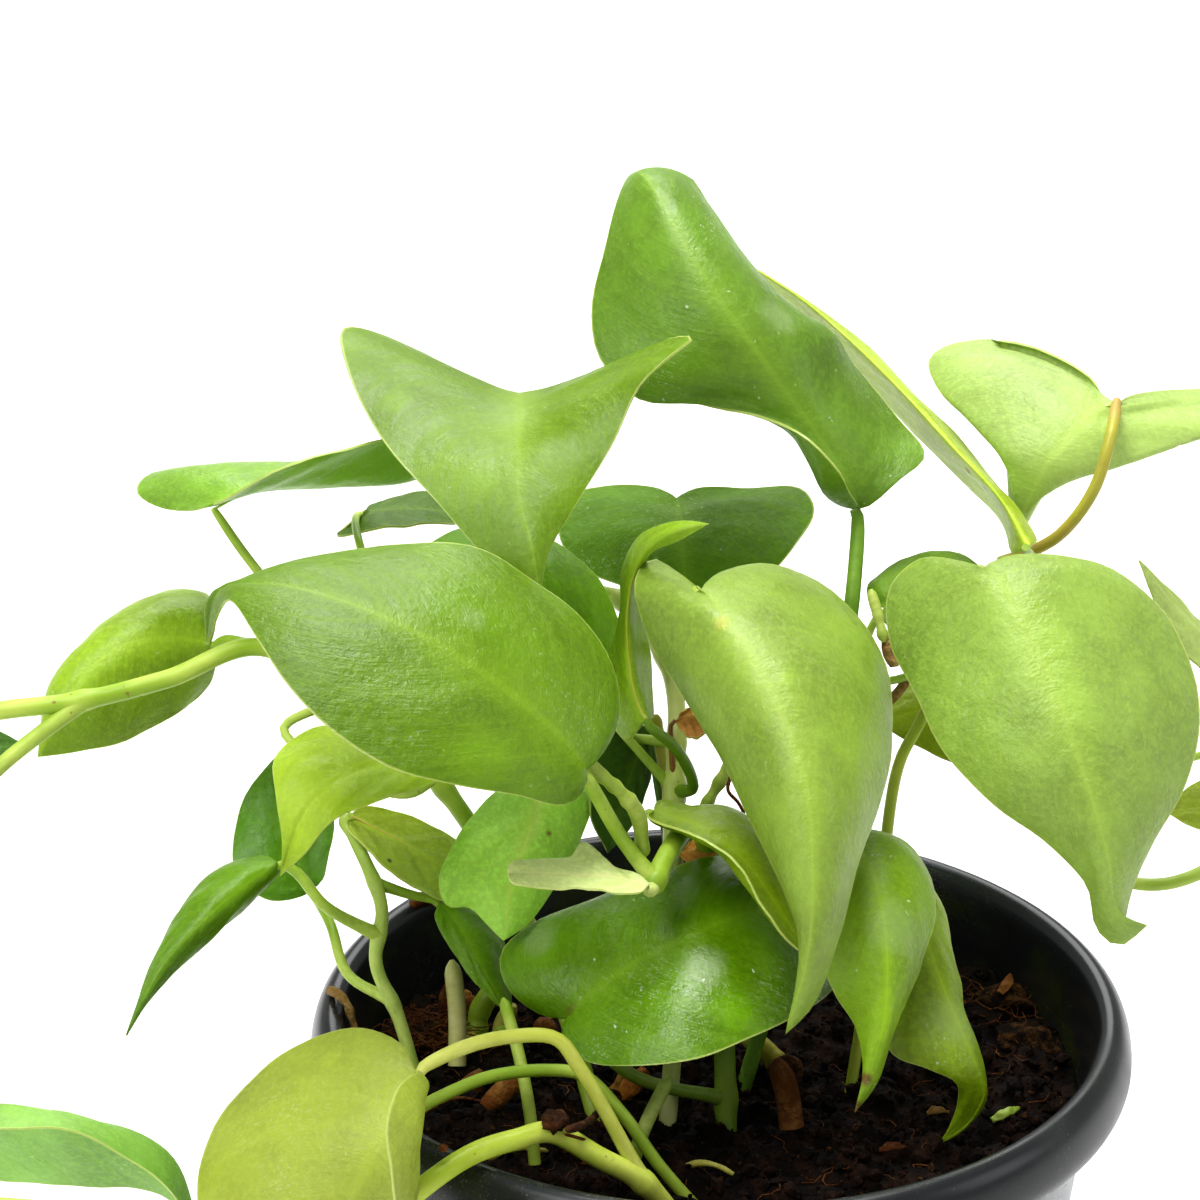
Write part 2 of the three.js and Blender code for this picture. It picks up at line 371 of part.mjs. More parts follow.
function place([across, up, near]) {
  return VIEW_MIDDLE.clone()
    .addScaledVector(ACROSS, across)
    .addScaledVector(UP, up)
    .addScaledVector(NEAR, near);
}

// Turns a closed three.js geometry into a solid that can be joined and cut.
function toSolid(geometry) {
  const bare = geometry.clone();
  bare.deleteAttribute('normal');
  bare.deleteAttribute('uv');
  const merged = mergeVertices(bare, WELD);
  const mesh = new wasm.Mesh({
    numProp: 3,
    vertProperties: new Float32Array(merged.attributes.position.array),
    triVerts: new Uint32Array(merged.index.array),
  });
  return new wasm.Manifold(mesh);
}

function toGeometry(solid) {
  const mesh = solid.getMesh();
  const geometry = new THREE.BufferGeometry();
  geometry.setAttribute('position', new THREE.BufferAttribute(new Float32Array(mesh.vertProperties), 3));
  geometry.setIndex(new THREE.BufferAttribute(new Uint32Array(mesh.triVerts), 1));
  geometry.computeVertexNormals();
  return geometry;
}

function toMesh(name, solid, colour, roughness) {
  const material = new THREE.MeshStandardMaterial({ color: colour, roughness, metalness: 0 });
  const mesh = new THREE.Mesh(toGeometry(solid), material);
  mesh.name = name;
  return mesh;
}

// The largest body of a solid that a cut may have left in several.
function largestBody(solid) {
  const bodies = solid.decompose();
  return bodies.reduce((best, body) => (body.volume() > best.volume() ? body : best));
}

// A smooth curve through places of the view.
function curveThrough(places) {
  return new THREE.CatmullRomCurve3(places, false, 'centripetal');
}

function tube(points, radius) {
  const path = curveThrough(points);
  const section = new THREE.Shape();
  for (let side = 0; side < TUBE_SIDES; side += 1) {
    const turn = (side / TUBE_SIDES) * Math.PI * 2;
    const corner = [radius * Math.cos(turn), radius * Math.sin(turn)];
    if (side === 0) section.moveTo(...corner);
    else section.lineTo(...corner);
  }
  section.closePath();
  const steps = Math.max(2, Math.ceil(path.getLength() / TUBE_STEP));
  return toSolid(new THREE.ExtrudeGeometry(section, { steps, bevelEnabled: false, extrudePath: path }));
}

// A value, or the value at a share of the rib from a row of values.
function valueAt(values, share) {
  if (typeof values === 'number') return values;
  const spot = share * (values.length - 1);
  const first = Math.min(Math.floor(spot), values.length - 2);
  const between = THREE.MathUtils.smoothstep(spot - first, 0, 1);
  return THREE.MathUtils.lerp(values[first], values[first + 1], between);
}

// A grid of places on one half of a leaf: rows fan out from the rib to the
// margin, and each row arches by its camber, a share of its own length.
function halfGrid(leaf, margin, camber, hand, columns) {
  const rib = leaf.rib.map(place);
  const ribCurve = curveThrough(rib);
  const edgeCurve = curveThrough([rib[0], ...margin.map(place), rib[rib.length - 1]]);
  const grid = [];
  for (let row = 0; row <= ROWS; row += 1) {
    const share = row / ROWS;
    const start = ribCurve.getPointAt(share ** RIB_SPREAD);
    const reach = edgeCurve.getPointAt(share).sub(start);
    const rise = reach.clone().cross(ribCurve.getTangentAt(share ** RIB_SPREAD)).multiplyScalar(hand);
    const line = [];
    for (let column = 0; column <= columns; column += 1) {
      const across = column / columns;
      const arch = valueAt(camber, share) * 4 * across * (1 - across);
      line.push(start.clone().addScaledVector(reach, across).addScaledVector(rise, arch));
    }
    grid.push(line);
  }
  return grid;
}

// Triangles of one half over the shared list of places, upper face out.
function halfTriangles(numbers, hand) {
  const triangles = [];
  const add = (a, b, c) => triangles.push(hand > 0 ? [a, b, c] : [a, c, b]);
  for (let row = 0; row < ROWS; row += 1) {
    for (let column = 0; column + 1 < numbers[row].length; column += 1) {
      const [a, b] = [numbers[row][column], numbers[row][column + 1]];
      const [d, c] = [numbers[row + 1][column], numbers[row + 1][column + 1]];
      if (a !== b) add(a, b, c);
      if (c !== d) add(a, c, d);
    }
  }
  return triangles;
}

// Both halves as one sheet: its places, its triangles and its margin's edges.
// The halves share the rib, and each row of places ends in one at rib's ends.
function leafSheet(leaf) {
  const columns = curveThrough(leaf.rib.map(place)).getLength() > LONG_RIB ? COLUMNS : COLUMNS - 1;
  const places = [];
  const triangles = [];
  const edges = [];
  let ribNumbers = null;
  for (const [margin, camber, hand] of [[leaf.right, leaf.camber[1], 1], [leaf.left, leaf.camber[0], -1]]) {
    const grid = halfGrid(leaf, margin, camber, hand, columns);
    const numbers = grid.map((line, row) => line.map((spot, column) => {
      if (column === 0 && ribNumbers) return ribNumbers[row];
      if (column > 0 && (row === 0 || row === ROWS)) return null;
      places.push(spot);
      return places.length - 1;
    }));
    ribNumbers = numbers.map((line) => line[0]);
    for (const row of [0, ROWS]) numbers[row].fill(ribNumbers[row]);
    triangles.push(...halfTriangles(numbers, hand));
    for (let row = 0; row < ROWS; row += 1) {
      const pair = [numbers[row][columns], numbers[row + 1][columns]];
      edges.push(hand > 0 ? pair : pair.reverse());
    }
  }
  return { places, triangles, edges };
}

// The sheet's own normals, one at each place.
function sheetNormals({ places, triangles }) {
  const normals = places.map(() => new THREE.Vector3());
  for (const [a, b, c] of triangles) {
    const area = places[b].clone().sub(places[a]).cross(places[c].clone().sub(places[a]));
    for (const corner of [a, b, c]) normals[corner].add(area);
  }
  return normals.map((normal) => normal.normalize());
}

// A blade: the sheet thickened evenly to both sides and closed at its margin.
function blade(leaf) {
  const sheet = leafSheet(leaf);
  const normals = sheetNormals(sheet);
  const corners = sheet.places.flatMap((spot, index) => [
    spot.clone().addScaledVector(normals[index], BLADE / 2),
    spot.clone().addScaledVector(normals[index], -BLADE / 2),
  ]);
  const faces = sheet.triangles.flatMap(([a, b, c]) => (
    [2 * a, 2 * b, 2 * c, 2 * a + 1, 2 * c + 1, 2 * b + 1]
  ));
  for (const [p, q] of sheet.edges) faces.push(2 * p, 2 * p + 1, 2 * q + 1, 2 * p, 2 * q + 1, 2 * q);
  return toSolid(new THREE.BufferGeometry().setFromPoints(corners).setIndex(faces));
}

function vineCurve(vine) {
  return curveThrough(vine.path.map(place));
}

// A leaf's stalk, from its vine to just under the start of the rib.
function stalk(leaf, vines) {
  const start = vineCurve(vines[leaf.vine]).getPointAt(leaf.joint);
  const tangent = curveThrough(leaf.rib.map(place)).getTangentAt(0);
  const across = place(leaf.right[1]).sub(place(leaf.left[1]));
  const face = across.cross(tangent).normalize();
  const under = place(leaf.rib[0]).addScaledVector(face, -leaf.stalkRadius * STALK_DROP);
  const end = under.clone().addScaledVector(tangent, STALK_OVERLAP);
  const lead = under.addScaledVector(tangent, -STALK_LEAD);
  return tube([start, ...leaf.stalk.map(place), lead, end], leaf.stalkRadius);
}

function leafSolid(leaf, vines, grownVines) {
  return largestBody(blade(leaf).add(stalk(leaf, vines)).subtract(grownVines));
}

function latheGeometry(profile, sides) {
  const points = profile.map(([radius, height]) => new THREE.Vector2(radius, height));
  return new THREE.LatheGeometry(points, sides).rotateX(Math.PI / 2);
}

function lathe(profile, sides) {
  return toSolid(latheGeometry(profile, sides));
}

// The wall's outer radius: it widens evenly from the base up to the lip.
function potWall(height) {
  return POT_BASE_RADIUS + ((POT_NECK_RADIUS - POT_BASE_RADIUS) * height) / LIP_FOOT;
}

function pot() {
  const outside = [
    [0, 0],
    [POT_BASE_RADIUS - ROUNDING, 0],
    [potWall(ROUNDING), ROUNDING],
    [potWall(LIP_FOOT), LIP_FOOT],
  ];
  const inside = [
    [potWall(LIP_FOOT) - WALL, LIP_FOOT - 1],
    [potWall(FLOOR + ROUNDING) - WALL, FLOOR + ROUNDING],
    [potWall(FLOOR) - WALL - ROUNDING, FLOOR],
    [0, FLOOR],
  ];
  let solid = lathe([...outside, ...LIP_PROFILE, ...inside], POT_SIDES);
  for (let hole = 0; hole < DRAIN_HOLES; hole += 1) {
    const turn = (hole / DRAIN_HOLES) * Math.PI * 2;
    const cutter = new THREE.CylinderGeometry(DRAIN_RADIUS, DRAIN_RADIUS, FLOOR * 4, DRAIN_SIDES);
    cutter.rotateX(Math.PI / 2);
    cutter.translate(DRAIN_RING * Math.cos(turn), DRAIN_RING * Math.sin(turn), 0);
    solid = solid.subtract(toSolid(cutter));
  }
  return solid;
}

// Low lumps on the soil, about 1.4 times the relief up and down.
function soilLump(x, y) {
  const [first, second, third] = SOIL_WAVES.map(([alongX, alongY]) => Math.sin(x * alongX + y * alongY));
  return first * second + 0.4 * third;
}

function soil(grownVines) {
  const wall = (height) => potWall(height) - WALL - GAP;
  const bottom = FLOOR + GAP;
  const edge = SOIL_LEVEL - SOIL_SHOULDER;
  const top = SOIL_RINGS.map((share) => [wall(SOIL_LEVEL) * share, SOIL_LEVEL]);
  const side = [[0, bottom], [wall(bottom) - ROUNDING, bottom], [wall(edge), edge]];
  const geometry = latheGeometry([...side, ...top, [0, SOIL_LEVEL]], POT_SIDES);
  const spots = geometry.attributes.position;
  for (let spot = 0; spot < spots.count; spot += 1) {
    if (spots.getZ(spot) > edge + GAP) {
      spots.setZ(spot, SOIL_LEVEL + SOIL_RELIEF * soilLump(spots.getX(spot), spots.getY(spot)));
    }
  }
  return toSolid(geometry).subtract(grownVines);
}

const group = new THREE.Group();
const vines = Object.fromEntries(VINES.map((vine) => [vine.name, vine]));
const vineSolids = VINES.map((vine) => tube(vine.path.map(place), vine.radius));
const grownVines = VINES
  .map((vine) => tube(vine.path.map(place), vine.radius + GAP))
  .reduce((a, b) => a.add(b));

group.add(toMesh('pot', pot(), POT_BLACK, 0.4));
group.add(toMesh('soil', largestBody(soil(grownVines)), SOIL_BROWN, 0.95));
VINES.forEach((vine, index) => group.add(toMesh(vine.name, vineSolids[index], vine.colour, 0.5)));
for (const leaf of LEAVES) {
  group.add(toMesh(leaf.name, leafSolid(leaf, vines, grownVines), leaf.colour, 0.35));
}

export default group;
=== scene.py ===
"""A potted heartleaf philodendron: fine leaves, stems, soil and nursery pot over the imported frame."""
import math
import random
import bpy
from mathutils import Matrix, Vector, noise


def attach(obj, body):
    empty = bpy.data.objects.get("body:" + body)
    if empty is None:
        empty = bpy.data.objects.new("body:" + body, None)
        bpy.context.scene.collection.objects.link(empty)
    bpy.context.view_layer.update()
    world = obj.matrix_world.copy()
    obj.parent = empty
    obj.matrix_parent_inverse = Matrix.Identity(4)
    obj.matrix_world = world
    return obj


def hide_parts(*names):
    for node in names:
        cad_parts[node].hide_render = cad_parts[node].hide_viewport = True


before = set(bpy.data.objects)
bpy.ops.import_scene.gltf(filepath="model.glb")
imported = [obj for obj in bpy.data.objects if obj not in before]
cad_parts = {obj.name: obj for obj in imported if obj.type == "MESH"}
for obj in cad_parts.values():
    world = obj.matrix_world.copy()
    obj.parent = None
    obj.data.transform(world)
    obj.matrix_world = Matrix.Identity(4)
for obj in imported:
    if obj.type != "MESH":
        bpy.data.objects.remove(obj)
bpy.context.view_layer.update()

MM = 0.001

# The photograph's view. A place is (across, up, near) in millimetres from the
# view's middle, and near points at the eye.
TILT = math.radians(24.5)
MIDDLE = Vector((-23, 32, 205))
ACROSS = Vector((1, 0, 0))
UP = Vector((0, math.sin(TILT), math.cos(TILT)))
NEAR = Vector((0, -math.cos(TILT), math.sin(TILT)))
EYE_DISTANCE = 1000
LENS = 157.8
SENSOR = 36
# The picture is 1200 steps wide and high, and PICTURE_STEP of them show a millimetre at the view's middle.
PICTURE_MIDDLE = 600
PICTURE_STEP = 5.26

WELD = 1e-6
STEM_CREASE, LEAF_CREASE, POT_CREASE = (math.radians(angle) for angle in (50, 60, 32))

# Leaves
ROWS = 44
HALF_COLUMNS = 14
RIB_SPREAD = 1.5
BLADE = 0.45
STALK_DROP = 0.85
STALK_LEAD = 1
GROOVE_DEPTH = 0.16
GROOVE_WIDTH = 0.9
FOLD_WIDTH = 6.5
ROLL_COLUMNS = 5
ROLL_RADIUS = 0.75
# Leaves whose rib makes no ridge under the blade
SMOOTH_BACKS = ("leaf_upper_right", "leaf_edge_on")
# Margins that roll over: side, from and to shares of the rib, extra width, and 1 for upwards
ROLLS = {"leaf_upper_right": [("left", 0.03, 0.4, 4.2, -1)]}

# Pot and soil
POT_HEIGHT = 135
POT_BASE_RADIUS = 54
POT_NECK_RADIUS = 71
LIP_RADIUS = 78
LIP_FOOT = POT_HEIGHT - 12
WALL = 1.8
FLOOR = 2.4
DRAIN_HOLES = 6
DRAIN_RADIUS = 4.5
DRAIN_RING = 38
SOIL_LEVEL = 118
SOIL_RELIEF = 1.3
SOIL_WAVES = [(0.31, 0.17), (-0.12, 0.27), (0.7, 0.9)]
FIBRE_RADII = (0.06, 0.1, 0.12, 0.12, 0.11, 0.1, 0.08, 0.05)
SEED = 11

VINES = [
    dict(name="vine_left", radius=1.9,
         path=[(2, -108, 5), (-10, -70, -5), (-35, -30, -6), (-64, -9, 2), (-82, -15, 5), (-98, -19, 6),
             (-114, -21, 6), (-128, -24, 4)]),
    dict(name="vine_low_left", radius=1.3,
         path=[(-34, -92, 10), (-38, -78, 12), (-42, -68, 14), (-41, -58, 12), (-46, -46, 5),
               (-49, -41, -1)]),
    dict(name="vine_centre", radius=1.8,
         path=[(12, -108, 6), (14, -80, 6), (14, -40, 4), (14, -16, 0), (9.5, -6, -5), (2, 2, -8)]),
    dict(name="vine_middle", radius=2.1,
         path=[(24, -104, 8), (23, -72, 5), (21, -50, 6), (18, -42, 16), (13, -46, 32), (9, -53, 42)]),
    dict(name="vine_tall", radius=1.6,
         path=[(24, -106, -8), (34, -70, -6), (42, -38, 0), (47, -6, 4)]),
    dict(name="vine_right", radius=1.2,
         path=[(46, -104, -2), (53, -62, -8), (57, -32, -6), (61, -24, -8), (70, -8, -14), (78, 8, -12)]),
    dict(name="vine_front", radius=2.1,
         path=[(17, -118, 34), (8, -106, 43), (0, -101, 48), (-9, -96, 51), (-15, -97, 54), (-22, -99, 56),
             (-29, -103, 59), (-36, -109, 61), (-40, -116, 62)]),
    dict(name="vine_front_thin", radius=1.25,
         path=[(22, -117, 28), (11, -104, 34), (4, -94, 37), (-3, -87, 38), (-10, -86, 38), (-20, -87, 40),
             (-28, -90, 42), (-36, -94, 44)]),
    dict(name="vine_trailing", radius=1.1,
         path=[(-44, -120, 62), (-60, -115, 66), (-78, -110, 68), (-94, -108, 66), (-112, -107, 62),
             (-124, -105, 58)]),
    dict(name="shoot_near", radius=1.25,
         path=[(-12, -104, 30), (-13, -94, 31), (-15, -84, 28), (-18, -74, 22)]),
    dict(name="shoot_middle", radius=1.4,
         path=[(5, -108, 26), (8, -98, 28), (13, -88, 26)]),
    dict(name="shoot_pale", radius=1.8,
         path=[(-27, -88, 6), (-27, -78, 6), (-28, -68, 6)]),
    dict(name="cut_stub", radius=2.5,
         path=[(36, -99, 12), (35, -92, 13), (33, -86, 14)]),
]

LEAVES = [
    dict(name="leaf_top", vine="vine_tall", joint=0.97, radius=1.6, camber=((-0.5, 0, 0), 0.1),
         stalk=[(48, 2, 3)],
         rib=[(49.5, 17.5, -1), (43, 27.5, 4), (30, 46.5, 9), (23, 56.5, 9), (16.5, 67, 6), (10, 79, -2),
             (7, 82.5, -14), (9.5, 78, -26)],
         left=[(47, 20.5, 8), (44.5, 24.5, 15), (38.5, 30.5, 15), (30, 34, 6), (19, 37, 3), (7.5, 38, 1),
             (0, 46, -3), (-1.5, 55.5, -6), (1, 67, -8), (4, 78.5, -12), (6.5, 82.5, -20)],
         right=[(52, 18.5, 1), (57, 23, 1), (62, 27.5, -4), (57, 34.5, -12), (49, 45, -12), (45, 51.5, -6),
             (35.5, 57.5, -14), (29, 65, -18), (21.5, 76, -18), (16.5, 82.5, -20)]),
    dict(name="leaf_edge_on", vine="vine_right", joint=0.97, radius=1.2, camber=(0, 0),
         stalk=[(82, 6.5, -2)],
         rib=[(80.5, 10, 13), (75.5, 19, 9), (67.5, 29, -2), (58.5, 40, -13), (48.5, 51, -24),
             (39.5, 59.5, -34), (29.5, 66.5, -44)],
         left=[(82.5, 11.5, 6), (79.5, 17.5, 0), (74.5, 24, -12), (62.5, 39.5, -27), (55, 47.5, -35),
             (42.5, 58, -42)],
         right=[(78, 9, 4), (77, 14, -3), (71, 23, -18), (61.5, 32.5, -30), (53.5, 42, -38),
             (41.5, 55.5, -43)]),
    dict(name="leaf_upper_right", vine="vine_right", joint=0.99, radius=1.3, camber=(-0.1, -0.1),
         stalk=[(87.5, 12.5, 0), (93.5, 21, 5), (96.6, 31, 5)],
         rib=[(98.5, 37.5, -6), (90.5, 31.5, 0), (84.5, 24.5, 0), (81.5, 17, -6), (80.5, 11.5, -14)],
         left=[(95, 40, -12), (87.5, 45.5, -20), (78.5, 49, -27), (69.5, 50, -31), (64.5, 47.5, -30),
             (67, 39, -18), (74, 34, -10), (77.5, 27.5, -6), (78.5, 19, -9)],
         right=[(103, 39.5, -14), (117, 41, -26), (130, 41.5, -34), (135, 37.5, -30), (125, 33.5, -18),
             (111.5, 30.5, -9), (97.5, 29, -4), (88.5, 26.5, -3), (84.5, 20.5, -8)]),
    dict(name="leaf_wing", vine="vine_centre", joint=0.98, radius=1.3, camber=(0, 0),
         stalk=[(-7.5, 5, -15), (-16.5, 19.5, -17), (-18, 33.5, -10)],
         rib=[(-15.5, 39.5, -4), (-15, 33.5, 14), (-15, 27, 24), (-15, 19.5, 30), (-12.5, 10, 34),
             (-11, 1, 35)],
         left=[(-11.8, 39.9, -3.5), (-6.5, 41.2, -2), (4, 45, 5), (12.5, 48.5, 15), (17.5, 48.5, 20),
             (12.5, 45, 24),
             (7.5, 40, 25), (2.5, 29, 27), (-4.5, 17.5, 30), (-9.5, 8.5, 33)],
         right=[(-19.2, 39.9, -5.5), (-24.5, 42, -8), (-34.5, 47.5, -10), (-44, 51.5, -8),
             (-49, 51.5, -2), (-48, 44.5, 8),
             (-40, 29, 20), (-30.5, 18.5, 27), (-20, 7, 32)]),
    dict(name="leaf_far_left", vine="vine_left", joint=0.5, radius=1.0, camber=(0.1, 0),
         stalk=[(-66.5, 7.5, 2)],
         rib=[(-73, 18, 8), (-64.5, 19.5, 10), (-51.5, 19.5, 6), (-39, 20.5, 0), (-30.5, 25, -6)],
         left=[(-76.5, 17, 6), (-83.5, 17.5, 0), (-88.5, 20.5, -6), (-86.5, 24, -12), (-75, 25.5, -18),
             (-61, 26, -20), (-49.5, 29, -18), (-37.5, 31, -13)],
         right=[(-71, 18.5, 14), (-65.5, 21.5, 18), (-57.5, 25, 20), (-49, 28, 18), (-40.5, 30, 11),
             (-34, 29, 2)]),
    dict(name="leaf_small_upper", vine="vine_left", joint=0.42, radius=0.9, camber=(0, 0),
         stalk=[(-46, 10, -11)],
         rib=[(-46, 17.5, -30), (-39, 18, -32), (-31.5, 17.5, -36), (-24, 16.5, -42)],
         left=[(-45, 18.5, -36), (-38, 21, -42), (-30, 21, -46)],
         right=[(-48.5, 15.5, -29), (-51.5, 12.5, -28), (-45, 13.5, -24), (-37, 14.5, -25),
             (-29, 15, -32)]),
    dict(name="leaf_centre", vine="vine_middle", joint=0.97, radius=1.5, camber=(0.12, 0.1),
         stalk=[(4, -43.5, 42)],
         rib=[(-2.5, -30.5, 56), (-10.5, -22, 60), (-21.5, -13, 63), (-34, -5.5, 64), (-46, -0.5, 62),
             (-59, 2.5, 57), (-68.5, 2, 50), (-71.5, -8, 43)],
         left=[(-3, -34, 58), (-7, -36.5, 63), (-15, -34.5, 69), (-25.5, -32.5, 75), (-36.5, -29.5, 78),
             (-47, -23, 77), (-55, -15, 74), (-61, -6.5, 68), (-66.5, 0, 58)],
         right=[(0, -28, 53), (3, -21.5, 48), (2, -12.5, 43), (-4, -2.5, 40), (-13, 4, 39),
             (-23.5, 9.5, 40), (-35.5, 10, 41), (-46.5, 8.5, 43), (-56, 7, 46), (-65, 3.5, 49),
             (-71, 0.5, 47)]),
    dict(name="leaf_dark_left", vine="vine_left", joint=0.62, radius=1.0, camber=(0.1, 0.15),
         stalk=[(-71.5, -7.5, -9)],
         rib=[(-75, -8.5, -12), (-82.5, -7.5, -8), (-90, -8, -5), (-96.5, -12, -4), (-102.5, -20, -4),
             (-107.5, -30, -6)],
         left=[(-74.5, -13, -18), (-77.5, -18.5, -20), (-84, -23, -17), (-92.5, -27.5, -13),
             (-101, -29, -9)],
         right=[(-74.5, -4, -18), (-76.5, 1, -24), (-85, 1.5, -26), (-93.5, -3, -23), (-99.5, -8.5, -18),
             (-105.5, -16, -12)]),
    dict(name="leaf_outer_left", vine="vine_left", joint=0.98, radius=0.8, camber=(0, 0),
         stalk=[(-128.5, -26, -4)],
         rib=[(-127, -28, -8), (-118.5, -28.5, -6), (-110, -27.5, -4)],
         left=[(-127, -24.5, -12), (-119, -24, -10), (-114, -25.5, -6)],
         right=[(-126, -31.5, -6), (-118.5, -33.5, -4), (-113.5, -32, -4)]),
    dict(name="leaf_lime_left", vine="vine_left", joint=0.55, radius=1.0, camber=(0.1, 0.1),
         stalk=[(-60, -24.5, 2), (-48, -33, 6), (-36, -36.5, 10)],
         rib=[(-27, -29.5, 15), (-36, -30.5, 27), (-45.5, -32.5, 36), (-52.5, -37.5, 40), (-56, -44, 40),
             (-58.5, -50.5, 38)],
         left=[(-26.5, -32.5, 20), (-31.5, -34, 29), (-41, -37, 39), (-48.5, -40, 43), (-53.5, -46, 42)],
         right=[(-29, -25.5, 10), (-37.5, -23.5, 10), (-47.5, -23.5, 18), (-55.5, -25, 28),
             (-60, -29.5, 34), (-59, -36.5, 38), (-58, -44.5, 40)]),
    dict(name="leaf_round_left", vine="vine_low_left", joint=0.3, radius=1.1, camber=(0.1, 0.1),
         stalk=[(-47.5, -70.5, 9), (-51, -61.5, 4)],
         rib=[(-55, -55, -4), (-59, -47.5, -4), (-61.5, -39.5, -8), (-59.5, -32, -13), (-57, -26, -18)],
         left=[(-57, -56.5, -1), (-63, -57, 1), (-69, -52.5, 0), (-70, -46, -3), (-68.5, -39, -8),
             (-64, -32, -13)],
         right=[(-53, -53.5, -2), (-51.5, -47, -5), (-51, -40.5, -10), (-52.5, -33, -15)]),
    dict(name="leaf_low_left", vine="vine_low_left", joint=0.52, radius=1.2, camber=(0.1, 0.1),
         stalk=[(-51.5, -57, 18), (-56.5, -51, 18)],
         rib=[(-60, -49, 20), (-66.5, -53.5, 26), (-73.5, -59.5, 31), (-80, -66.5, 33), (-83.5, -73, 34),
             (-87, -80, 34)],
         left=[(-60.5, -51.5, 14), (-65.5, -56.5, 17), (-72, -63, 24), (-79.5, -69.5, 30), (-84, -75, 33)],
         right=[(-64, -48, 13), (-70, -49.5, 13), (-75.5, -54, 18), (-80, -60.5, 24), (-83, -68, 30)]),
    dict(name="leaf_under", vine="vine_low_left", joint=0.96, radius=1.0, camber=(0, 0),
         stalk=[],
         rib=[(-47.5, -41.5, 2), (-40, -45, 1), (-32, -49.5, 3), (-23, -56, 6)],
         left=[(-48, -43, 5), (-43, -48, 9), (-37.5, -52.5, 10), (-30, -56.5, 9)],
         right=[(-46, -39.5, 0), (-38.5, -40.5, -3), (-32, -43, -3), (-26, -47.5, 0)]),
    dict(name="leaf_shade", vine="vine_low_left", joint=0.7, radius=1.0, camber=(0.1, 0.1),
         stalk=[(-36, -55.5, 8)],
         rib=[(-30, -57, 8), (-25.5, -63, 12), (-21.5, -70.5, 14), (-16.5, -78.5, 14)],
         left=[(-27.5, -56.5, 4), (-21.5, -59.5, 1), (-18, -65.5, 4), (-17, -72.5, 10)],
         right=[(-31, -59.5, 10), (-29, -64, 12), (-23.5, -71.5, 14)]),
    dict(name="leaf_lime_centre", vine="vine_centre", joint=0.7, radius=1.0, camber=(0.1, 0.1),
         stalk=[(-2, -26.5, 0)],
         rib=[(-10, -33, 4), (-13, -42.5, 12), (-16.5, -52.5, 18), (-18, -63.5, 20)],
         left=[(-4, -34, 0), (-2, -39, 2), (-4.5, -47, 7), (-9, -54, 12), (-13, -60, 17)],
         right=[(-15, -33.5, 6), (-20.5, -37, 9), (-26.5, -44, 14), (-30, -52.5, 17), (-28.5, -57, 17),
             (-24.5, -57.5, 17), (-21, -60.5, 18)]),
    dict(name="leaf_low_dark", vine="vine_middle", joint=0.1, radius=1.4, camber=(0.1, 0.1),
         stalk=[(6, -88.5, 20)],
         rib=[(-6, -77.5, 26), (5.5, -68, 31), (18.5, -61, 30), (31.5, -58, 20), (46.5, -66, 6)],
         left=[(-11, -77, 22), (-17, -72.5, 19), (-18.5, -66.5, 16), (-13, -60.5, 14), (-2.5, -56.5, 13),
             (9.5, -52.5, 12), (21.5, -48.5, 11), (35, -50.5, 8), (43.5, -57.5, 6)],
         right=[(-7, -80, 29), (-2, -84.5, 38), (7.5, -84.5, 45), (18, -83, 47), (27, -80, 42),
             (36, -76.5, 32), (43.5, -72.5, 18)]),
    dict(name="leaf_big", vine="vine_centre", joint=0.85, radius=1.4, camber=(0.1, 0.1),
         stalk=[(15.5, -4, 14)],
         rib=[(18.5, 2, 32), (24.5, -6.5, 42), (31.5, -18, 51), (37, -34, 57), (38, -50, 58),
             (37, -64.5, 55), (33.5, -78.5, 49)],
         left=[(22.5, 5, 24), (32, 6.5, 13), (41.5, 3, 12), (49, -4, 14), (53.5, -14, 20), (54, -25, 27),
             (51.5, -35.5, 36), (47, -47.5, 43), (43, -60.5, 49), (38.5, -73, 50)],
         right=[(15, 4.5, 24), (9.5, 7.5, 19), (6.5, 3, 24), (9.5, -7, 25), (16.5, -19.5, 30),
             (24.5, -33.5, 38), (31, -47.5, 45), (36, -60.5, 50), (35.5, -70.5, 50)]),
    dict(name="leaf_grey", vine="vine_centre", joint=0.62, radius=1.2, camber=(0, 0),
         stalk=[(17.4, -35.5, 9), (16.5, -31.5, 13.5), (13.5, -27, 18)],
         rib=[(8.5, -22.5, 22), (6, -15, 20), (5, -5.5, 18), (6, 3, 20), (8.5, 9, 26), (13.5, 12.5, 32),
             (20, 14, 34)],
         left=[(10, -21.5, 16), (9.5, -15, 9), (8, -4.5, 7), (7.5, 4, 12), (10, 9, 25), (15.5, 11.5, 32)],
         right=[(5, -26, 18), (2.5, -22.5, 12), (2, -12.5, 7), (3.5, -2.5, 6), (4.5, 6.5, 15),
             (7.5, 12, 23), (14.5, 14.5, 31)]),
    dict(name="leaf_back_dark", vine="vine_tall", joint=0.9, radius=1.1, camber=(0, 0),
         stalk=[(27.5, 8, -28), (18.5, 15.5, -34)],
         rib=[(15, 20, -32), (15.5, 13.5, -24), (16.5, 4, -18), (17.5, -6.5, -14)],
         left=[(19.5, 22, -35), (29.5, 22, -37), (39.5, 21.5, -35), (42, 17.5, -31), (38, 10.5, -25),
             (30, 2, -19), (21.5, -5, -15)],
         right=[(11, 22, -35), (2, 22.5, -36), (-6, 20, -32), (-8, 12.5, -27), (-3.5, 6, -23), (6, 2, -19),
             (13, -4, -15)]),
    dict(name="leaf_mid_dark", vine="vine_centre", joint=0.62, radius=1.0, camber=(0.1, 0.1),
         stalk=[],
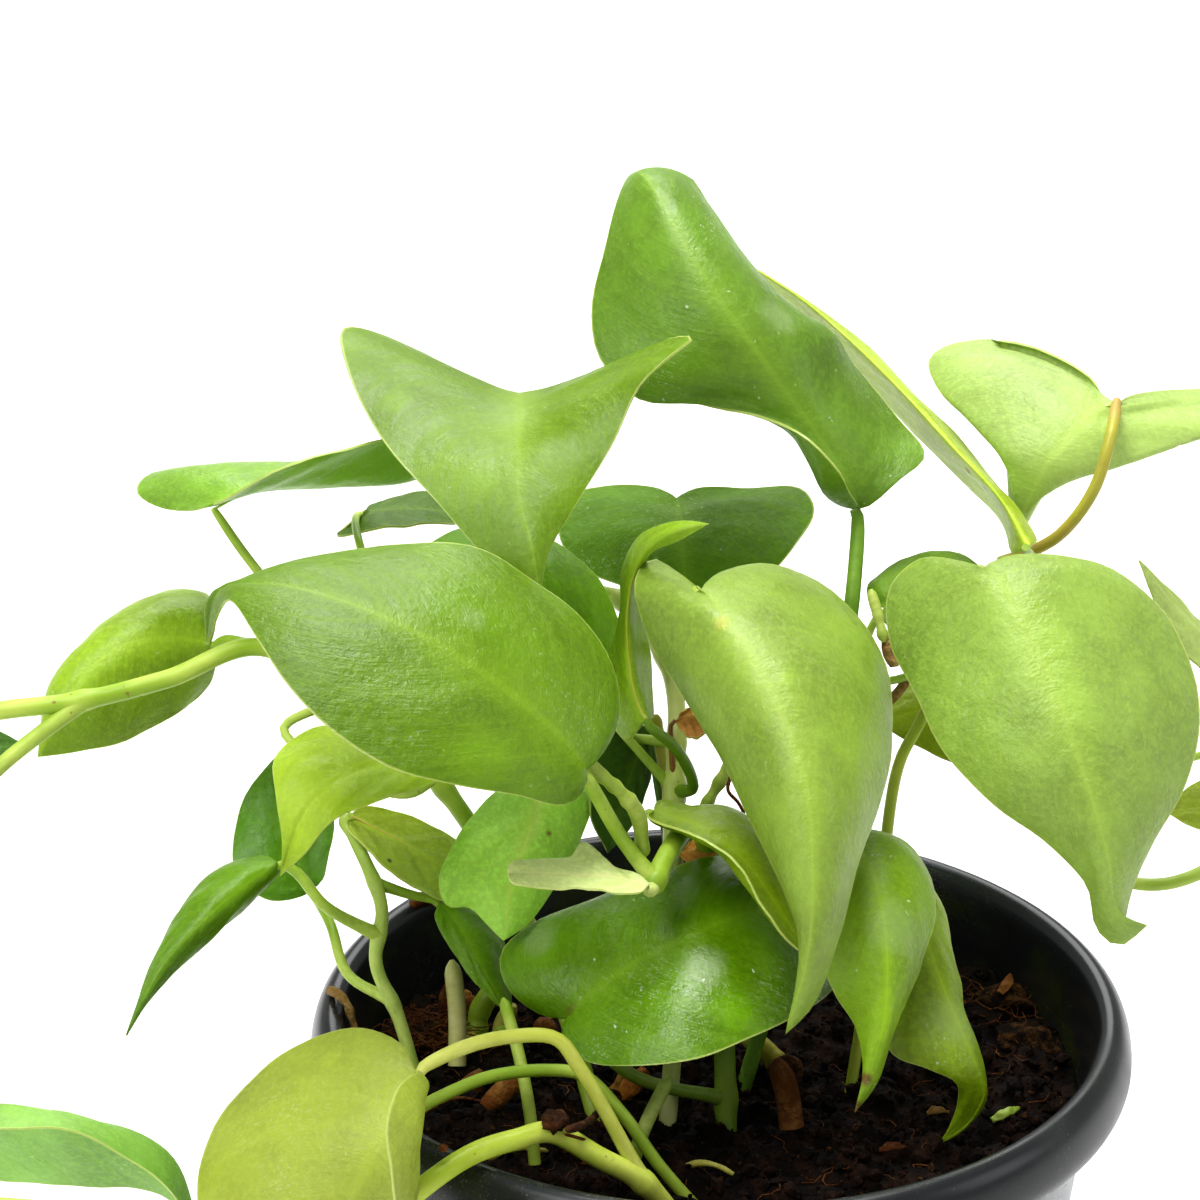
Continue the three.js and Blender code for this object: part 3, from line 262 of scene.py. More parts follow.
         rib=[(0, -19, 4), (-7.5, -5.5, 10), (-18, 4, 8), (-26, 8.5, 0), (-33, 10.5, -8)],
         left=[(-3, -21, 8), (-11, -17, 15), (-20.5, -8, 17), (-28, 1, 10)],
         right=[(2.5, -16, 1), (3.5, -5.5, -2), (0, 3.5, -3), (-7.5, 10.5, -6), (-17.5, 14, -10),
             (-27, 13.5, -11)]),
    dict(name="leaf_right", vine="vine_right", joint=0.75, radius=1.4, camber=(0.08, 0.08),
         stalk=[(66, -14, 8), (70.5, -3.5, 22)],
         rib=[(70.5, 6, 32), (75.5, -0.5, 39), (79, -9, 43), (84, -21, 47), (89, -36, 48), (92, -47, 46),
             (94, -55.5, 42), (100, -59.5, 38)],
         left=[(75.5, 8, 29), (86, 8, 25), (96, 5.5, 21), (104.5, -2, 20), (109.5, -12, 22),
             (110.5, -23, 27), (107.5, -34.5, 33), (101.5, -44, 37), (97, -53.5, 38), (96.3, -61.2, 37.3)],
         right=[(67, 7, 27), (59.5, 7.5, 20), (54, 2, 17), (54, -7.5, 19), (58, -16.5, 26), (64.5, -29, 34),
             (72, -37.5, 39), (82, -44.5, 41), (89, -52, 40), (91, -60.2, 37.5), (95, -63.2, 37)]),
    dict(name="leaf_behind_right", vine="vine_right", joint=0.85, radius=0.9, camber=(0.1, 0.1),
         stalk=[(59, -14.5, -5), (53, -15, -2), (50.5, -9, 0)],
         rib=[(54, -1.5, 3), (60.5, 1, 3), (67.5, 1.5, -1), (76.5, -2, -8)],
         left=[(52, -1, -1), (51, 3, -3), (56.5, 7, -7), (63.5, 9.5, -10), (70.5, 8, -11),
             (75.5, 3.5, -10)],
         right=[(53.5, -4, 7), (58.5, -6.5, 7), (65.5, -7, 3), (72.5, -5.5, -4)]),
    dict(name="leaf_edge_tip", vine="vine_right", joint=0.78, radius=1.4, camber=(0, 0),
         stalk=[(72, -27, -10), (84, -38, -6), (93, -48, 0), (99, -53, 4), (108, -53.5, 5),
             (120.5, -47.5, 0), (131.5, -30.5, -4)],
         rib=[(125, -13, -3), (116.5, -8, 3), (108.5, -1, 8), (101.5, 7.5, 10)],
         left=[(123.5, -16, 0), (117.5, -15.5, 8), (111, -11, 11), (105, -1.5, 12)],
         right=[(128, -10.5, -8), (124.5, -6.5, -8), (115, -4, 0), (107, 2.5, 7)]),
    dict(name="leaf_edge_low", vine="vine_right", joint=0.9, radius=0.9, camber=(0, 0),
         stalk=[(82, -16, -8), (95, -25, -8), (108, -31, -14), (122.5, -30, -24)],
         rib=[(133, -38.5, -12), (124.5, -38.5, -7), (115.5, -39.5, -4), (108, -40.5, -4)],
         left=[(131.5, -43.5, -10), (122.5, -45, -5), (113.5, -43.5, -3)],
         right=[(132, -34.5, -16), (122, -33.5, -12), (113, -35.5, -6)]),
    dict(name="leaf_drop_near", vine="vine_right", joint=0.45, radius=1.1, camber=(0.1, 0.1),
         stalk=[(50, -47, 8)],
         rib=[(46, -43, 22), (50.5, -50.5, 31), (52.5, -62, 38), (52, -75, 41), (49, -86, 41),
             (46.5, -93.5, 40)],
         left=[(51, -43, 16), (57, -45, 15), (61.5, -51, 18), (62, -57.5, 23), (59, -67, 30),
             (54.5, -77, 36), (51, -87.5, 39)],
         right=[(43.5, -45, 22), (40.5, -52, 26), (40, -60.5, 32), (43, -72, 36), (47, -78.5, 38),
             (48, -87.5, 40)]),
    dict(name="leaf_drop_far", vine="vine_right", joint=0.35, radius=1.1, camber=(0.1, 0.1),
         stalk=[],
         rib=[(59, -53.5, 8), (62, -65.5, 15), (66, -76.5, 20), (69.5, -85, 22), (71.5, -90.5, 21),
             (69.5, -96.5, 18), (63, -102, 16)],
         left=[(62, -53.5, 3), (64.5, -58, 3), (66.5, -67, 8), (68.5, -76.5, 14), (71.5, -87.5, 19),
             (72, -93.5, 19), (68, -99, 17)],
         right=[(56.5, -54, 8), (53.5, -62, 12), (52, -72.5, 19), (54, -84, 24), (61, -87, 25),
             (66, -89.5, 24), (66.5, -94, 20), (65, -99, 17)]),
    dict(name="leaf_rolled", vine="vine_centre", joint=0.57, radius=1.1, camber=(0.15, -0.2),
         stalk=[],
         rib=[(10, -39, 24), (18.5, -42, 31), (26.5, -48, 36), (33, -57, 41), (38, -65, 44)],
         left=[(11.5, -37.5, 18), (19.5, -41, 13), (27, -41.5, 12), (33.5, -46.5, 17), (36.5, -56, 30)],
         right=[(9, -40, 30), (16.5, -43, 38), (23, -46.5, 42), (28, -53.5, 45), (34, -61.5, 46)]),
    dict(name="leaf_front_lime", vine="vine_front", joint=0.22, radius=1.5, camber=(-0.42, 0.08),
         stalk=[(-4, -84, 50), (-8, -79, 52), (-16, -78.5, 54), (-24, -80, 58)],
         rib=[(-33, -83.5, 64), (-36.5, -90.5, 69), (-40.5, -98, 71), (-45, -108.5, 69), (-49.5, -119, 64),
             (-54, -131, 56)],
         left=[(-32.5, -83.5, 72), (-35.5, -85.5, 80), (-37, -92, 86), (-36, -101, 87), (-35.5, -110, 82),
             (-41.5, -122, 70)],
         right=[(-35.5, -79.5, 60), (-43, -77, 55), (-52, -79.5, 51), (-61, -85, 49), (-69, -94.5, 49),
             (-72.5, -104.5, 52), (-71, -115, 55), (-63.5, -125.5, 57)]),
    dict(name="leaf_front_left", vine="vine_left", joint=0.84, radius=1.7, camber=(0, 0.1),
         stalk=[(-117.5, -36, 8), (-123.5, -50.5, 14), (-130.5, -70, 28), (-131, -84, 40)],
         rib=[(-122, -90, 46), (-108.5, -91, 50), (-95.5, -92.5, 52), (-84.5, -94.5, 51),
             (-77.5, -99.5, 48), (-74.5, -108, 44), (-73.5, -117.5, 40)],
         left=[(-125, -93.5, 38), (-119.5, -102, 33), (-110.5, -106.5, 33), (-97.5, -107.5, 34),
             (-84.5, -108, 36), (-77.5, -110.5, 39)],
         right=[(-123.5, -91.5, 52), (-116, -94.5, 60), (-107, -94, 63), (-96, -94, 63), (-87, -98.5, 60),
             (-79.5, -104, 55), (-75, -111.5, 47)]),
    dict(name="sheath_cream", vine="vine_middle", joint=0.995, radius=1.2, camber=(0, 0),
         stalk=[],
         rib=[(9, -51.5, 46), (0, -50, 49), (-8, -49.4, 51), (-16.8, -49.4, 50)],
         left=[(7, -53, 50), (0, -52.2, 53), (-8, -51.8, 54), (-15.5, -51, 53)],
         right=[(6.5, -49.8, 44), (2.7, -48.8, 43), (-0.4, -45.9, 42), (-3.1, -44.2, 42),
             (-5.1, -46.8, 43), (-10.9, -46.8, 46), (-16.4, -47.6, 50)]),
    dict(name="leaf_shade_right", vine="vine_right", joint=0.84, radius=0.9, camber=(0, 0),
         stalk=[],
         rib=[(76, -19, -22), (68, -20, -20), (61, -21.5, -18), (54, -24, -18)],
         left=[(75, -25, -20), (69, -31.5, -17), (64, -29.5, -16), (59, -27, -17)],
         right=[(75, -14.5, -26), (65, -15, -24), (57.5, -18, -21)]),
    dict(name="dry_leaf_upper", vine="vine_centre", joint=0.62, radius=0.6, camber=(0.2, 0.2),
         stalk=[],
         rib=[(14.5, -23, 7), (17.5, -21.5, 11), (21, -24, 12)],
         left=[(15, -24.5, 10), (18, -26, 13)],
         right=[(15.5, -21, 8), (19, -20, 10)]),
    dict(name="dry_leaf_lower", vine="vine_centre", joint=0.54, radius=0.6, camber=(-0.2, 0.2),
         stalk=[],
         rib=[(14.5, -47.5, 9), (19, -46.5, 8), (23, -45.5, 8)],
         left=[(17, -46, 5), (20.5, -44.5, 5)],
         right=[(16.5, -49.5, 10), (20.5, -49.5, 10)]),
]


def place(spot):
    across, up, near = spot
    return (MIDDLE + ACROSS * across + UP * up + NEAR * near) * MM


def clear_selection():
    bpy.ops.object.select_all(action="DESELECT")


def choose(piece):
    clear_selection()
    piece.select_set(True)
    bpy.context.view_layer.objects.active = piece


def weld(outwards=True):
    """Merges the active mesh's doubled corners, and turns its faces outwards."""
    bpy.ops.object.mode_set(mode="EDIT")
    bpy.ops.mesh.select_all(action="SELECT")
    bpy.ops.mesh.remove_doubles(threshold=WELD)
    if outwards:
        bpy.ops.mesh.normals_make_consistent(inside=False)
    bpy.ops.object.mode_set(mode="OBJECT")


def set_camera():
    bpy.ops.object.camera_add(location=(MIDDLE + NEAR * EYE_DISTANCE) * MM)
    camera = bpy.context.object
    camera.name = "photo_camera"
    camera.rotation_euler = (math.radians(90) - TILT, 0, 0)
    camera.data.lens = LENS
    camera.data.sensor_width = SENSOR
    bpy.context.scene.camera = camera


class Curve:
    """A smooth curve through places, walked by shares of its length."""

    STEPS = 200

    def __init__(self, places):
        self.places = places
        spots = [self.at(step / self.STEPS) for step in range(self.STEPS + 1)]
        self.reached = [0.0]
        for one, other in zip(spots, spots[1:]):
            self.reached.append(self.reached[-1] + (other - one).length)

    @property
    def length(self):
        return self.reached[-1]

    def at(self, share):
        last = len(self.places) - 1
        spot = min(max(share, 0), 1) * last
        first = min(int(spot), last - 1)
        start, end = self.places[first], self.places[first + 1]
        before = self.places[first - 1] if first > 0 else start * 2 - end
        after = self.places[first + 2] if first + 2 <= last else end * 2 - start
        return blend_places((before, start, end, after), spot - first)

    def share_at(self, share):
        wanted = share * self.length
        low, high = 0, self.STEPS
        while high - low > 1:
            middle = (low + high) // 2
            if self.reached[middle] <= wanted:
                low = middle
            else:
                high = middle
        step = self.reached[high] - self.reached[low]
        return (low + (wanted - self.reached[low]) / max(step, 1e-12)) / self.STEPS

    def walk(self, share):
        return self.at(self.share_at(share))

    def tangent(self, share):
        spot = self.share_at(share)
        return (self.at(min(spot + 1e-3, 1)) - self.at(max(spot - 1e-3, 0))).normalized()


def blend_places(places, share):
    """A centripetal cubic between the middle two of four places."""
    p0, p1, p2, p3 = places
    d0, d1, d2 = [max((b - a).length ** 0.5, 1e-5) for a, b in ((p0, p1), (p1, p2), (p2, p3))]
    lead = ((p1 - p0) / d0 - (p2 - p0) / (d0 + d1) + (p2 - p1) / d1) * d1
    trail = ((p2 - p1) / d1 - (p3 - p1) / (d1 + d2) + (p3 - p2) / d2) * d1
    square = share * share
    cube = square * share
    return (p1 * (2 * cube - 3 * square + 1) + lead * (cube - 2 * square + share)
            + p2 * (3 * square - 2 * cube) + trail * (cube - square))


def value_at(values, share):
    """A value, or the value at a share of the rib from a row of values."""
    if not isinstance(values, tuple):
        return values
    spot = share * (len(values) - 1)
    first = min(int(spot), len(values) - 2)
    part = spot - first
    part = part * part * (3 - 2 * part)
    return values[first] * (1 - part) + values[first + 1] * part


class LeafForm:
    """The curved sheet of one leaf, from its rib to its two margins."""

    def __init__(self, leaf):
        ends = place(leaf["rib"][0]), place(leaf["rib"][-1])
        self.leaf = leaf
        self.rib = Curve([place(spot) for spot in leaf["rib"]])
        self.margins = {side: Curve([ends[0], *[place(spot) for spot in leaf[side]], ends[1]])
                        for side in ("left", "right")}
        self.rows = {}
        self.folds = {}

    def row(self, side, share):
        """A row's start on the rib, its reach to the margin, and its rise, worked out once."""
        if (side, share) not in self.rows:
            rib_share = share ** RIB_SPREAD
            start = self.rib.walk(rib_share)
            reach = self.margins[side].walk(share) - start
            rise = reach.cross(self.rib.tangent(rib_share)) * (1 if side == "right" else -1)
            self.rows[side, share] = start, reach, rise
        return self.rows[side, share]

    def spot(self, side, share, across):
        """The place at a share of the rib and of the way out, and the row's length."""
        start, reach, rise = self.row(side, share)
        camber = self.leaf["camber"][1 if side == "right" else 0]
        arch = value_at(camber, share) * 4 * across * (1 - across)
        return start + reach * across + rise * arch, reach.length

    def face(self, share):
        """The upper face's direction on the rib."""
        span = self.spot("right", share, 0.3)[0] - self.spot("left", share, 0.3)[0]
        return span.cross(self.rib.tangent(share ** RIB_SPREAD)).normalized()

    def fold(self, share):
        """Which way the two halves lean together at the rib, and how far out the fold is rounded."""
        if share in self.folds:
            return self.folds[share]
        rib_share = share ** RIB_SPREAD
        start, tangent = self.rib.walk(rib_share), self.rib.tangent(rib_share)
        lean, narrow = Vector(), 1.0
        for side in ("left", "right"):
            spot, row_length = self.spot(side, share, 0.25)
            lean += (spot - start).normalized() / 2
            narrow = min(narrow, row_length)
        lean -= tangent * lean.dot(tangent)
        self.folds[share] = lean, min(FOLD_WIDTH * MM, narrow * 0.45)
        return self.folds[share]

    def rounding(self, share, distance):
        """How far the sheet moves at a distance from the rib so that the fold is round, not sharp."""
        lean, width = self.fold(share)
        if distance >= width:
            return Vector()
        return lean * (width - distance) ** 2 / (2 * width)


def relief(across, row_length, along, seed):
    """How far the sheet stands above its rounded form, in millimetres: groove, puckers and waves."""
    from_rib = across * row_length / MM
    groove = -GROOVE_DEPTH * math.exp(-(from_rib / GROOVE_WIDTH) ** 2) * (1 - 0.6 * along)
    flow = along - 0.2 * abs(across) ** 1.6
    ends = math.sin(math.pi * min(max(along, 0), 1))
    pucker = noise.noise(Vector((flow * 9, across * 1.6, seed * 3.1))) * 0.55 * ends
    dimple = noise.noise(Vector((flow * 26, across * 7, seed * 5.3))) * 0.13 * ends
    wave = noise.noise(Vector((along * 5, seed * 2.7, 9))) * 0.9 * across ** 4 * ends
    return groove + (pucker + dimple) * min(abs(across) * 3, 1) + wave


def roll_weight(rolls, side, along):
    """The roll of a margin at a share of its length: its extra width and which way it turns."""
    for roll_side, start, end, width, way in rolls:
        if roll_side == side and start < along < end:
            rise = min((along - start), (end - along)) / (end - start) * 4
            weight = min(rise, 1)
            return weight * weight * (3 - 2 * weight), width, way
    return 0, 0, 1


def rolled_spot(form, side, along, column):
    """A grid place on a row whose outer columns roll over at the margin."""
    across = column / HALF_COLUMNS
    weight, width, way = roll_weight(ROLLS.get(form.leaf["name"], ()), side, along)
    if not weight:
        return form.spot(side, along, across)
    flat = HALF_COLUMNS - ROLL_COLUMNS
    inner = min(column / flat, 1)
    outer = max(column - flat, 0) / ROLL_COLUMNS * width
    spot, row_length = form.spot(side, along, across + (inner - across) * weight)
    if outer:
        before = form.spot(side, along, 0.9)[0]
        edge = form.spot(side, along, 1)[0]
        out = (edge - before).normalized()
        hand = 1 if side == "right" else -1
        up = out.cross(form.margins[side].tangent(along)).normalized() * hand * way
        turn = outer / ROLL_RADIUS
        bend = min(turn, math.pi * 0.94)
        past = (turn - bend) * ROLL_RADIUS
        away = math.sin(bend) * ROLL_RADIUS + math.cos(bend) * past
        over = (1 - math.cos(bend)) * ROLL_RADIUS + math.sin(bend) * past
        spot += (out * away + up * over) * weight * MM
    return spot, row_length


def model_blade(form, number):
    """A grid laid over the leaf's sheet, welded at the sinus and the tip, and given its thickness."""
    clear_selection()
    columns = 2 * HALF_COLUMNS
    bpy.ops.mesh.primitive_grid_add(x_subdivisions=columns, y_subdivisions=ROWS, size=2)
    blade = bpy.context.object
    for vertex in blade.data.vertices:
        column = round((vertex.co.x + 1) / 2 * columns) - HALF_COLUMNS
        along = round((vertex.co.y + 1) / 2 * ROWS) / ROWS
        vertex.co = rolled_spot(form, "right" if column >= 0 else "left", along, abs(column))[0]
    weld(outwards=False)
    raise_relief(blade, form, number)
    thicken(blade, BLADE, 1)
    return blade


def thicken(sheet, thickness, under_slot):
    """Gives a sheet its thickness, with its own material slot for the underside and rim."""
    solidify = sheet.modifiers.new("thickness", "SOLIDIFY")
    solidify.thickness = thickness * MM
    solidify.offset = 0
    solidify.material_offset = under_slot
    solidify.material_offset_rim = under_slot
    bpy.ops.object.modifier_apply(modifier=solidify.name)


def raise_relief(blade, form, number):
    """Pushes the sheet's groove, quilting and waves out along its own normals."""
    mesh = blade.data
    uv = mesh.uv_layers.active.data
    where = {}
    for loop in mesh.loops:
        where.setdefault(loop.vertex_index, tuple(uv[loop.index].uv))
    moves = []
    for vertex in mesh.vertices:
        u, along = where[vertex.index]
        across = abs(2 * u - 1)
        row_length = form.spot("right" if u >= 0.5 else "left", along, 0)[1]
        height = relief((2 * u - 1), row_length, along, number)
        moves.append(vertex.normal * height * MM + form.rounding(along, across * row_length))
    for vertex, move in zip(mesh.vertices, moves):
        vertex.co += move


def model_stem(name, spots, radii):
    """A round stem through the spots, with its own radius at each, as a closed mesh."""
    clear_selection()
    bpy.ops.curve.primitive_bezier_curve_add()
    stem = bpy.context.object
    stem.name = name
    shape = stem.data
    shape.splines.clear()
    shape.dimensions = "3D"
    shape.twist_mode = "MINIMUM"
    line = shape.splines.new("POLY")
    line.points.add(len(spots) - 1)
    for point, spot, radius in zip(line.points, spots, radii):
        point.co = (*spot, 1)
        point.radius = radius
    shape.bevel_depth = MM
    shape.bevel_resolution = 3
    shape.use_fill_caps = True
    bpy.ops.object.convert(target="MESH")
    weld()
    bpy.ops.object.shade_smooth_by_angle(angle=STEM_CREASE)
    return bpy.context.object


def vine_line(vine):
    return Curve([place(spot) for spot in vine["path"]])


def stalk_line(leaf, form):
    """The stalk's spots and radii, from its vine to the sinus, a little under the blade."""
    tangent = form.rib.tangent(0)
    face = (place(leaf["right"][1]) - place(leaf["left"][1])).cross(tangent).normalized()
    under = place(leaf["rib"][0]) - face * leaf["radius"] * STALK_DROP * MM
    start = vine_line(VINE_OF[leaf["vine"]]).walk(leaf["joint"])
    places = [start, *[place(spot) for spot in leaf["stalk"]]]
    gap = under - places[-1]
    if gap.dot(tangent) > 0 and gap.length > 4 * MM:
        places.append(under - tangent * STALK_LEAD * MM)
    stalk = Curve([*places, under])
    steps = max(6, int(stalk.length / MM / 1.5))
    spots = [stalk.walk(step / steps) for step in range(steps + 1)]
    radii = [stalk_radius(leaf, step / steps, stalk.length / MM) for step in range(steps + 1)]
    return spots, radii


def ridge_line(leaf, form):
    """The rib's ridge under the blade: it leaves the stalk's end and thins out towards the tip."""
    steps = max(int(form.rib.length / MM / 1.6), 4)
    spots, radii = [], []
    for step in range(steps):
        share = step / steps
        radius = max(min(leaf["radius"] * 0.26, 0.3) * (1 - share) ** 0.8, 0.12)
        along = share ** (1 / RIB_SPREAD)
        settle = min(share * form.rib.length / MM / 4, 1)
        depth = leaf["radius"] * STALK_DROP * (1 - settle) + (radius + 0.02) * settle
        face = form.face(max(along, 0.06))
        spots.append(form.rib.walk(share) - face * depth * MM + form.rounding(along, 0))
        radii.append(radius)
    return spots, radii


def stalk_radius(leaf, share, length):
    """Thicker where it clasps the vine, slimmer where it meets the blade."""
    clasp = 0.4 * math.exp(-share * length / 3.5)
    neck = 0.28 * math.exp(-(1 - share) * length / 2.5)
    return leaf["radius"] * (0.9 + clasp - neck)


def join_pieces(first, *others):
    clear_selection()
    for piece in (first, *others):
        piece.select_set(True)
    bpy.context.view_layer.objects.active = first
    bpy.ops.object.join()
    return bpy.context.object


def paint(piece, *materials):
    piece.data.materials.clear()
    for material in materials:
        piece.data.materials.append(material)


def model_leaf(leaf, number):
    form = LeafForm(leaf)
    materials = leaf_materials(leaf, form, number)
    pieces = [model_blade(form, number)]
    paint(pieces[0], *materials)
    lines = [(2, stalk_line), (3, ridge_line)]
    for slot, line in lines[:1] if leaf["name"] in SMOOTH_BACKS else lines:
        tube = model_stem("tube", *line(leaf, form))
        paint(tube, *materials)
        for polygon in tube.data.polygons:
            polygon.material_index = slot
        pieces.append(tube)
    piece = join_pieces(*pieces)
    piece.name = "grown_" + leaf["name"]
    bpy.ops.object.shade_smooth_by_angle(angle=LEAF_CREASE)
    return piece


def model_vine(vine):
    """A vine that swells a little where each leaf stalk leaves it, and tapers to its tip."""
    line = vine_line(vine)
    length = line.length / MM
    joints = [leaf["joint"] * length for leaf in LEAVES if leaf["vine"] == vine["name"]]
    steps = int(length / 1.2)
    spots, radii = [], []
    for step in range(steps + 1):
        along = step / steps * length
        swell = sum(0.22 * math.exp(-((along - joint) / 2.2) ** 2) for joint in joints)
        tip = min((length - along) / (vine["radius"] * 1.5), 1)
        spots.append(line.walk(step / steps))
        radii.append(vine["radius"] * (0.96 + min(swell, 0.35)) * (0.25 + 0.75 * math.sqrt(tip)))
    piece = model_stem("grown_" + vine["name"], spots, radii)
    return piece


def pot_wall(height):
    return POT_BASE_RADIUS + (POT_NECK_RADIUS - POT_BASE_RADIUS) * height / LIP_FOOT


def spin_profile(name, profile, steps):
    """A closed profile of (radius, height) places, spun round the pot's axis."""
    clear_selection()
    bpy.ops.mesh.primitive_circle_add(vertices=len(profile), radius=1)
    piece = bpy.context.object
    piece.name = name
    for vertex, (radius, height) in zip(piece.data.vertices, profile):
        vertex.co = Vector((radius, 0, height)) * MM
    bpy.ops.object.mode_set(mode="EDIT")
    bpy.ops.mesh.select_all(action="SELECT")
    bpy.ops.mesh.spin(steps=steps, angle=math.tau, center=(0, 0, 0), axis=(0, 0, 1))
    bpy.ops.mesh.select_all(action="SELECT")
    bpy.ops.mesh.remove_doubles(threshold=1e-6)
    bpy.ops.mesh.normals_make_consistent(inside=False)
    bpy.ops.object.mode_set(mode="OBJECT")
    return piece


def smooth_profile(corners, steps):
    line = Curve([Vector((radius, 0, height)) for radius, height in corners])
    spots = [line.walk(step / steps) for step in range(steps + 1)]
    return [(spot.x, spot.z) for spot in spots]


def model_pot():
    """The tapered pot with its rolled lip, its raised foot and its drain holes."""
    lip = smooth_profile([(pot_wall(LIP_FOOT), LIP_FOOT - 0.6), (76.6, LIP_FOOT - 0.3), (LIP_RADIUS, 125),
                          (77.8, 130), (76.4, 133.4), (74.2, 134.9), (72.3, 134.2), (71.4, 132.2),
                          (pot_wall(LIP_FOOT) - WALL, LIP_FOOT)], 30)
    profile = [(0, 0.6), (POT_BASE_RADIUS - 6, 0.6), (POT_BASE_RADIUS - 5.2, 0), (POT_BASE_RADIUS - 1.5, 0),
               (pot_wall(0.5) - 0.4, 0.4), (pot_wall(1.6), 1.6), (pot_wall(60), 60), *lip,
               (pot_wall(60) - WALL, 60), (pot_wall(4.5) - WALL, 4.5), (pot_wall(3) - WALL - 1.2, 2.8),
               (pot_wall(2.4) - WALL - 3, FLOOR), (0, FLOOR)]
    pot = spin_profile("nursery_pot", profile, 144)
    for hole in range(DRAIN_HOLES):
        turn = hole / DRAIN_HOLES * math.tau
        clear_selection()
        bpy.ops.mesh.primitive_cylinder_add(
            vertices=32, radius=DRAIN_RADIUS * MM, depth=FLOOR * 4 * MM,
            location=(DRAIN_RING * MM * math.cos(turn), DRAIN_RING * MM * math.sin(turn), 0))
        cutter = bpy.context.object
        choose(pot)
        cut = pot.modifiers.new("drain", "BOOLEAN")
        cut.object = cutter
        cut.solver = "EXACT"
        bpy.ops.object.modifier_apply(modifier=cut.name)
        bpy.data.objects.remove(cutter)
    choose(pot)
    bpy.ops.object.shade_smooth_by_angle(angle=POT_CREASE)
    return pot


def soil_height(x, y):
    """The soil's surface, in millimetres: the low lumps of the frame, and finer ones."""
    first, second, third = [math.sin(x * wave[0] + y * wave[1]) for wave in SOIL_WAVES]
    lumps = SOIL_RELIEF * (first * second + 0.4 * third)
    fine = noise.fractal(Vector((x, y, 3)) * 0.16, 0.9, 2.2, 5) * 1.5
    return SOIL_LEVEL + lumps + fine


def model_soil():
    """The filling of the pot: a lumpy surface, a side and a flat underside."""
    clear_selection()
    rings, turns = 90, 220
    bpy.ops.mesh.primitive_grid_add(x_subdivisions=turns, y_subdivisions=rings, size=2)
    soil = bpy.context.object
    soil.name = "potting_mix"
    surface = rings - 4
    for vertex in soil.data.vertices:
        turn = round((vertex.co.x + 1) / 2 * turns) / turns * math.tau
        ring = round((vertex.co.y + 1) / 2 * rings)
        edge = pot_wall(SOIL_LEVEL) - WALL - 0.3
        if ring <= surface:
            radius = edge * (ring / surface)
            x, y = radius * math.cos(turn), radius * math.sin(turn)
            height = soil_height(x, y)
        else:
            radius, height = ((edge - 0.4, SOIL_LEVEL - 4), (pot_wall(3) - WALL - 0.3, 4.2),
                              (pot_wall(3) - WALL - 1.8, 2.7), (0, 2.7))[ring - surface - 1]
            x, y = radius * math.cos(turn), radius * math.sin(turn)
        vertex.co = Vector((x, y, height)) * MM
    weld()
    bpy.ops.object.shade_smooth()
    return soil


def scatter(name, source, spots):
    """Copies of a small source mesh, one at each (place, turn, scale), in one piece."""
    corners = [vertex.co.copy() for vertex in source.data.vertices]
    faces = [tuple(polygon.vertices) for polygon in source.data.polygons]
    all_corners, all_faces = [], []
    for where, turn, scale in spots:
        base = len(all_corners)
        matrix = Matrix.LocRotScale(where, turn, scale)
        all_corners.extend(matrix @ corner for corner in corners)
        all_faces.extend(tuple(base + index for index in face) for face in faces)
    mesh = bpy.data.meshes.new(name)
    mesh.from_pydata(all_corners, [], all_faces)
    mesh.validate()
    piece = bpy.data.objects.new(name, mesh)
    bpy.context.scene.collection.objects.link(piece)
    bpy.data.objects.remove(source)
    return piece


def model_crumb(draw):
    """One rough crumb of soil, about a unit across."""
    clear_selection()
    bpy.ops.mesh.primitive_ico_sphere_add(subdivisions=1, radius=1)
    crumb = bpy.context.object
    for vertex in crumb.data.vertices:
        vertex.co *= draw.uniform(0.6, 1.15)
    return crumb


def soil_spot(draw):
    radius = (pot_wall(SOIL_LEVEL) - WALL - 1.5) * math.sqrt(draw.uniform(0, 1))
    turn = draw.uniform(0, math.tau)
    return radius * math.cos(turn), radius * math.sin(turn)


def random_turn(draw):
    return Vector([draw.gauss(0, 1) for _ in range(3)]).to_track_quat("Z", "Y") @ \
        Matrix.Rotation(draw.uniform(0, math.tau), 3, "Z").to_quaternion()


def crumb_spots(draw, count, smallest, largest):
    spots = []
    for _ in range(count):
        x, y = soil_spot(draw)
        size = smallest * (largest / smallest) ** (draw.random() ** 2.2)
        height = soil_height(x, y) + size * draw.uniform(-0.1, 0.5)
        scale = Vector((size, size * draw.uniform(0.6, 1), size * draw.uniform(0.5, 0.9))) * MM
        spots.append((Vector((x, y, height)) * MM, random_turn(draw), scale))
    return spots


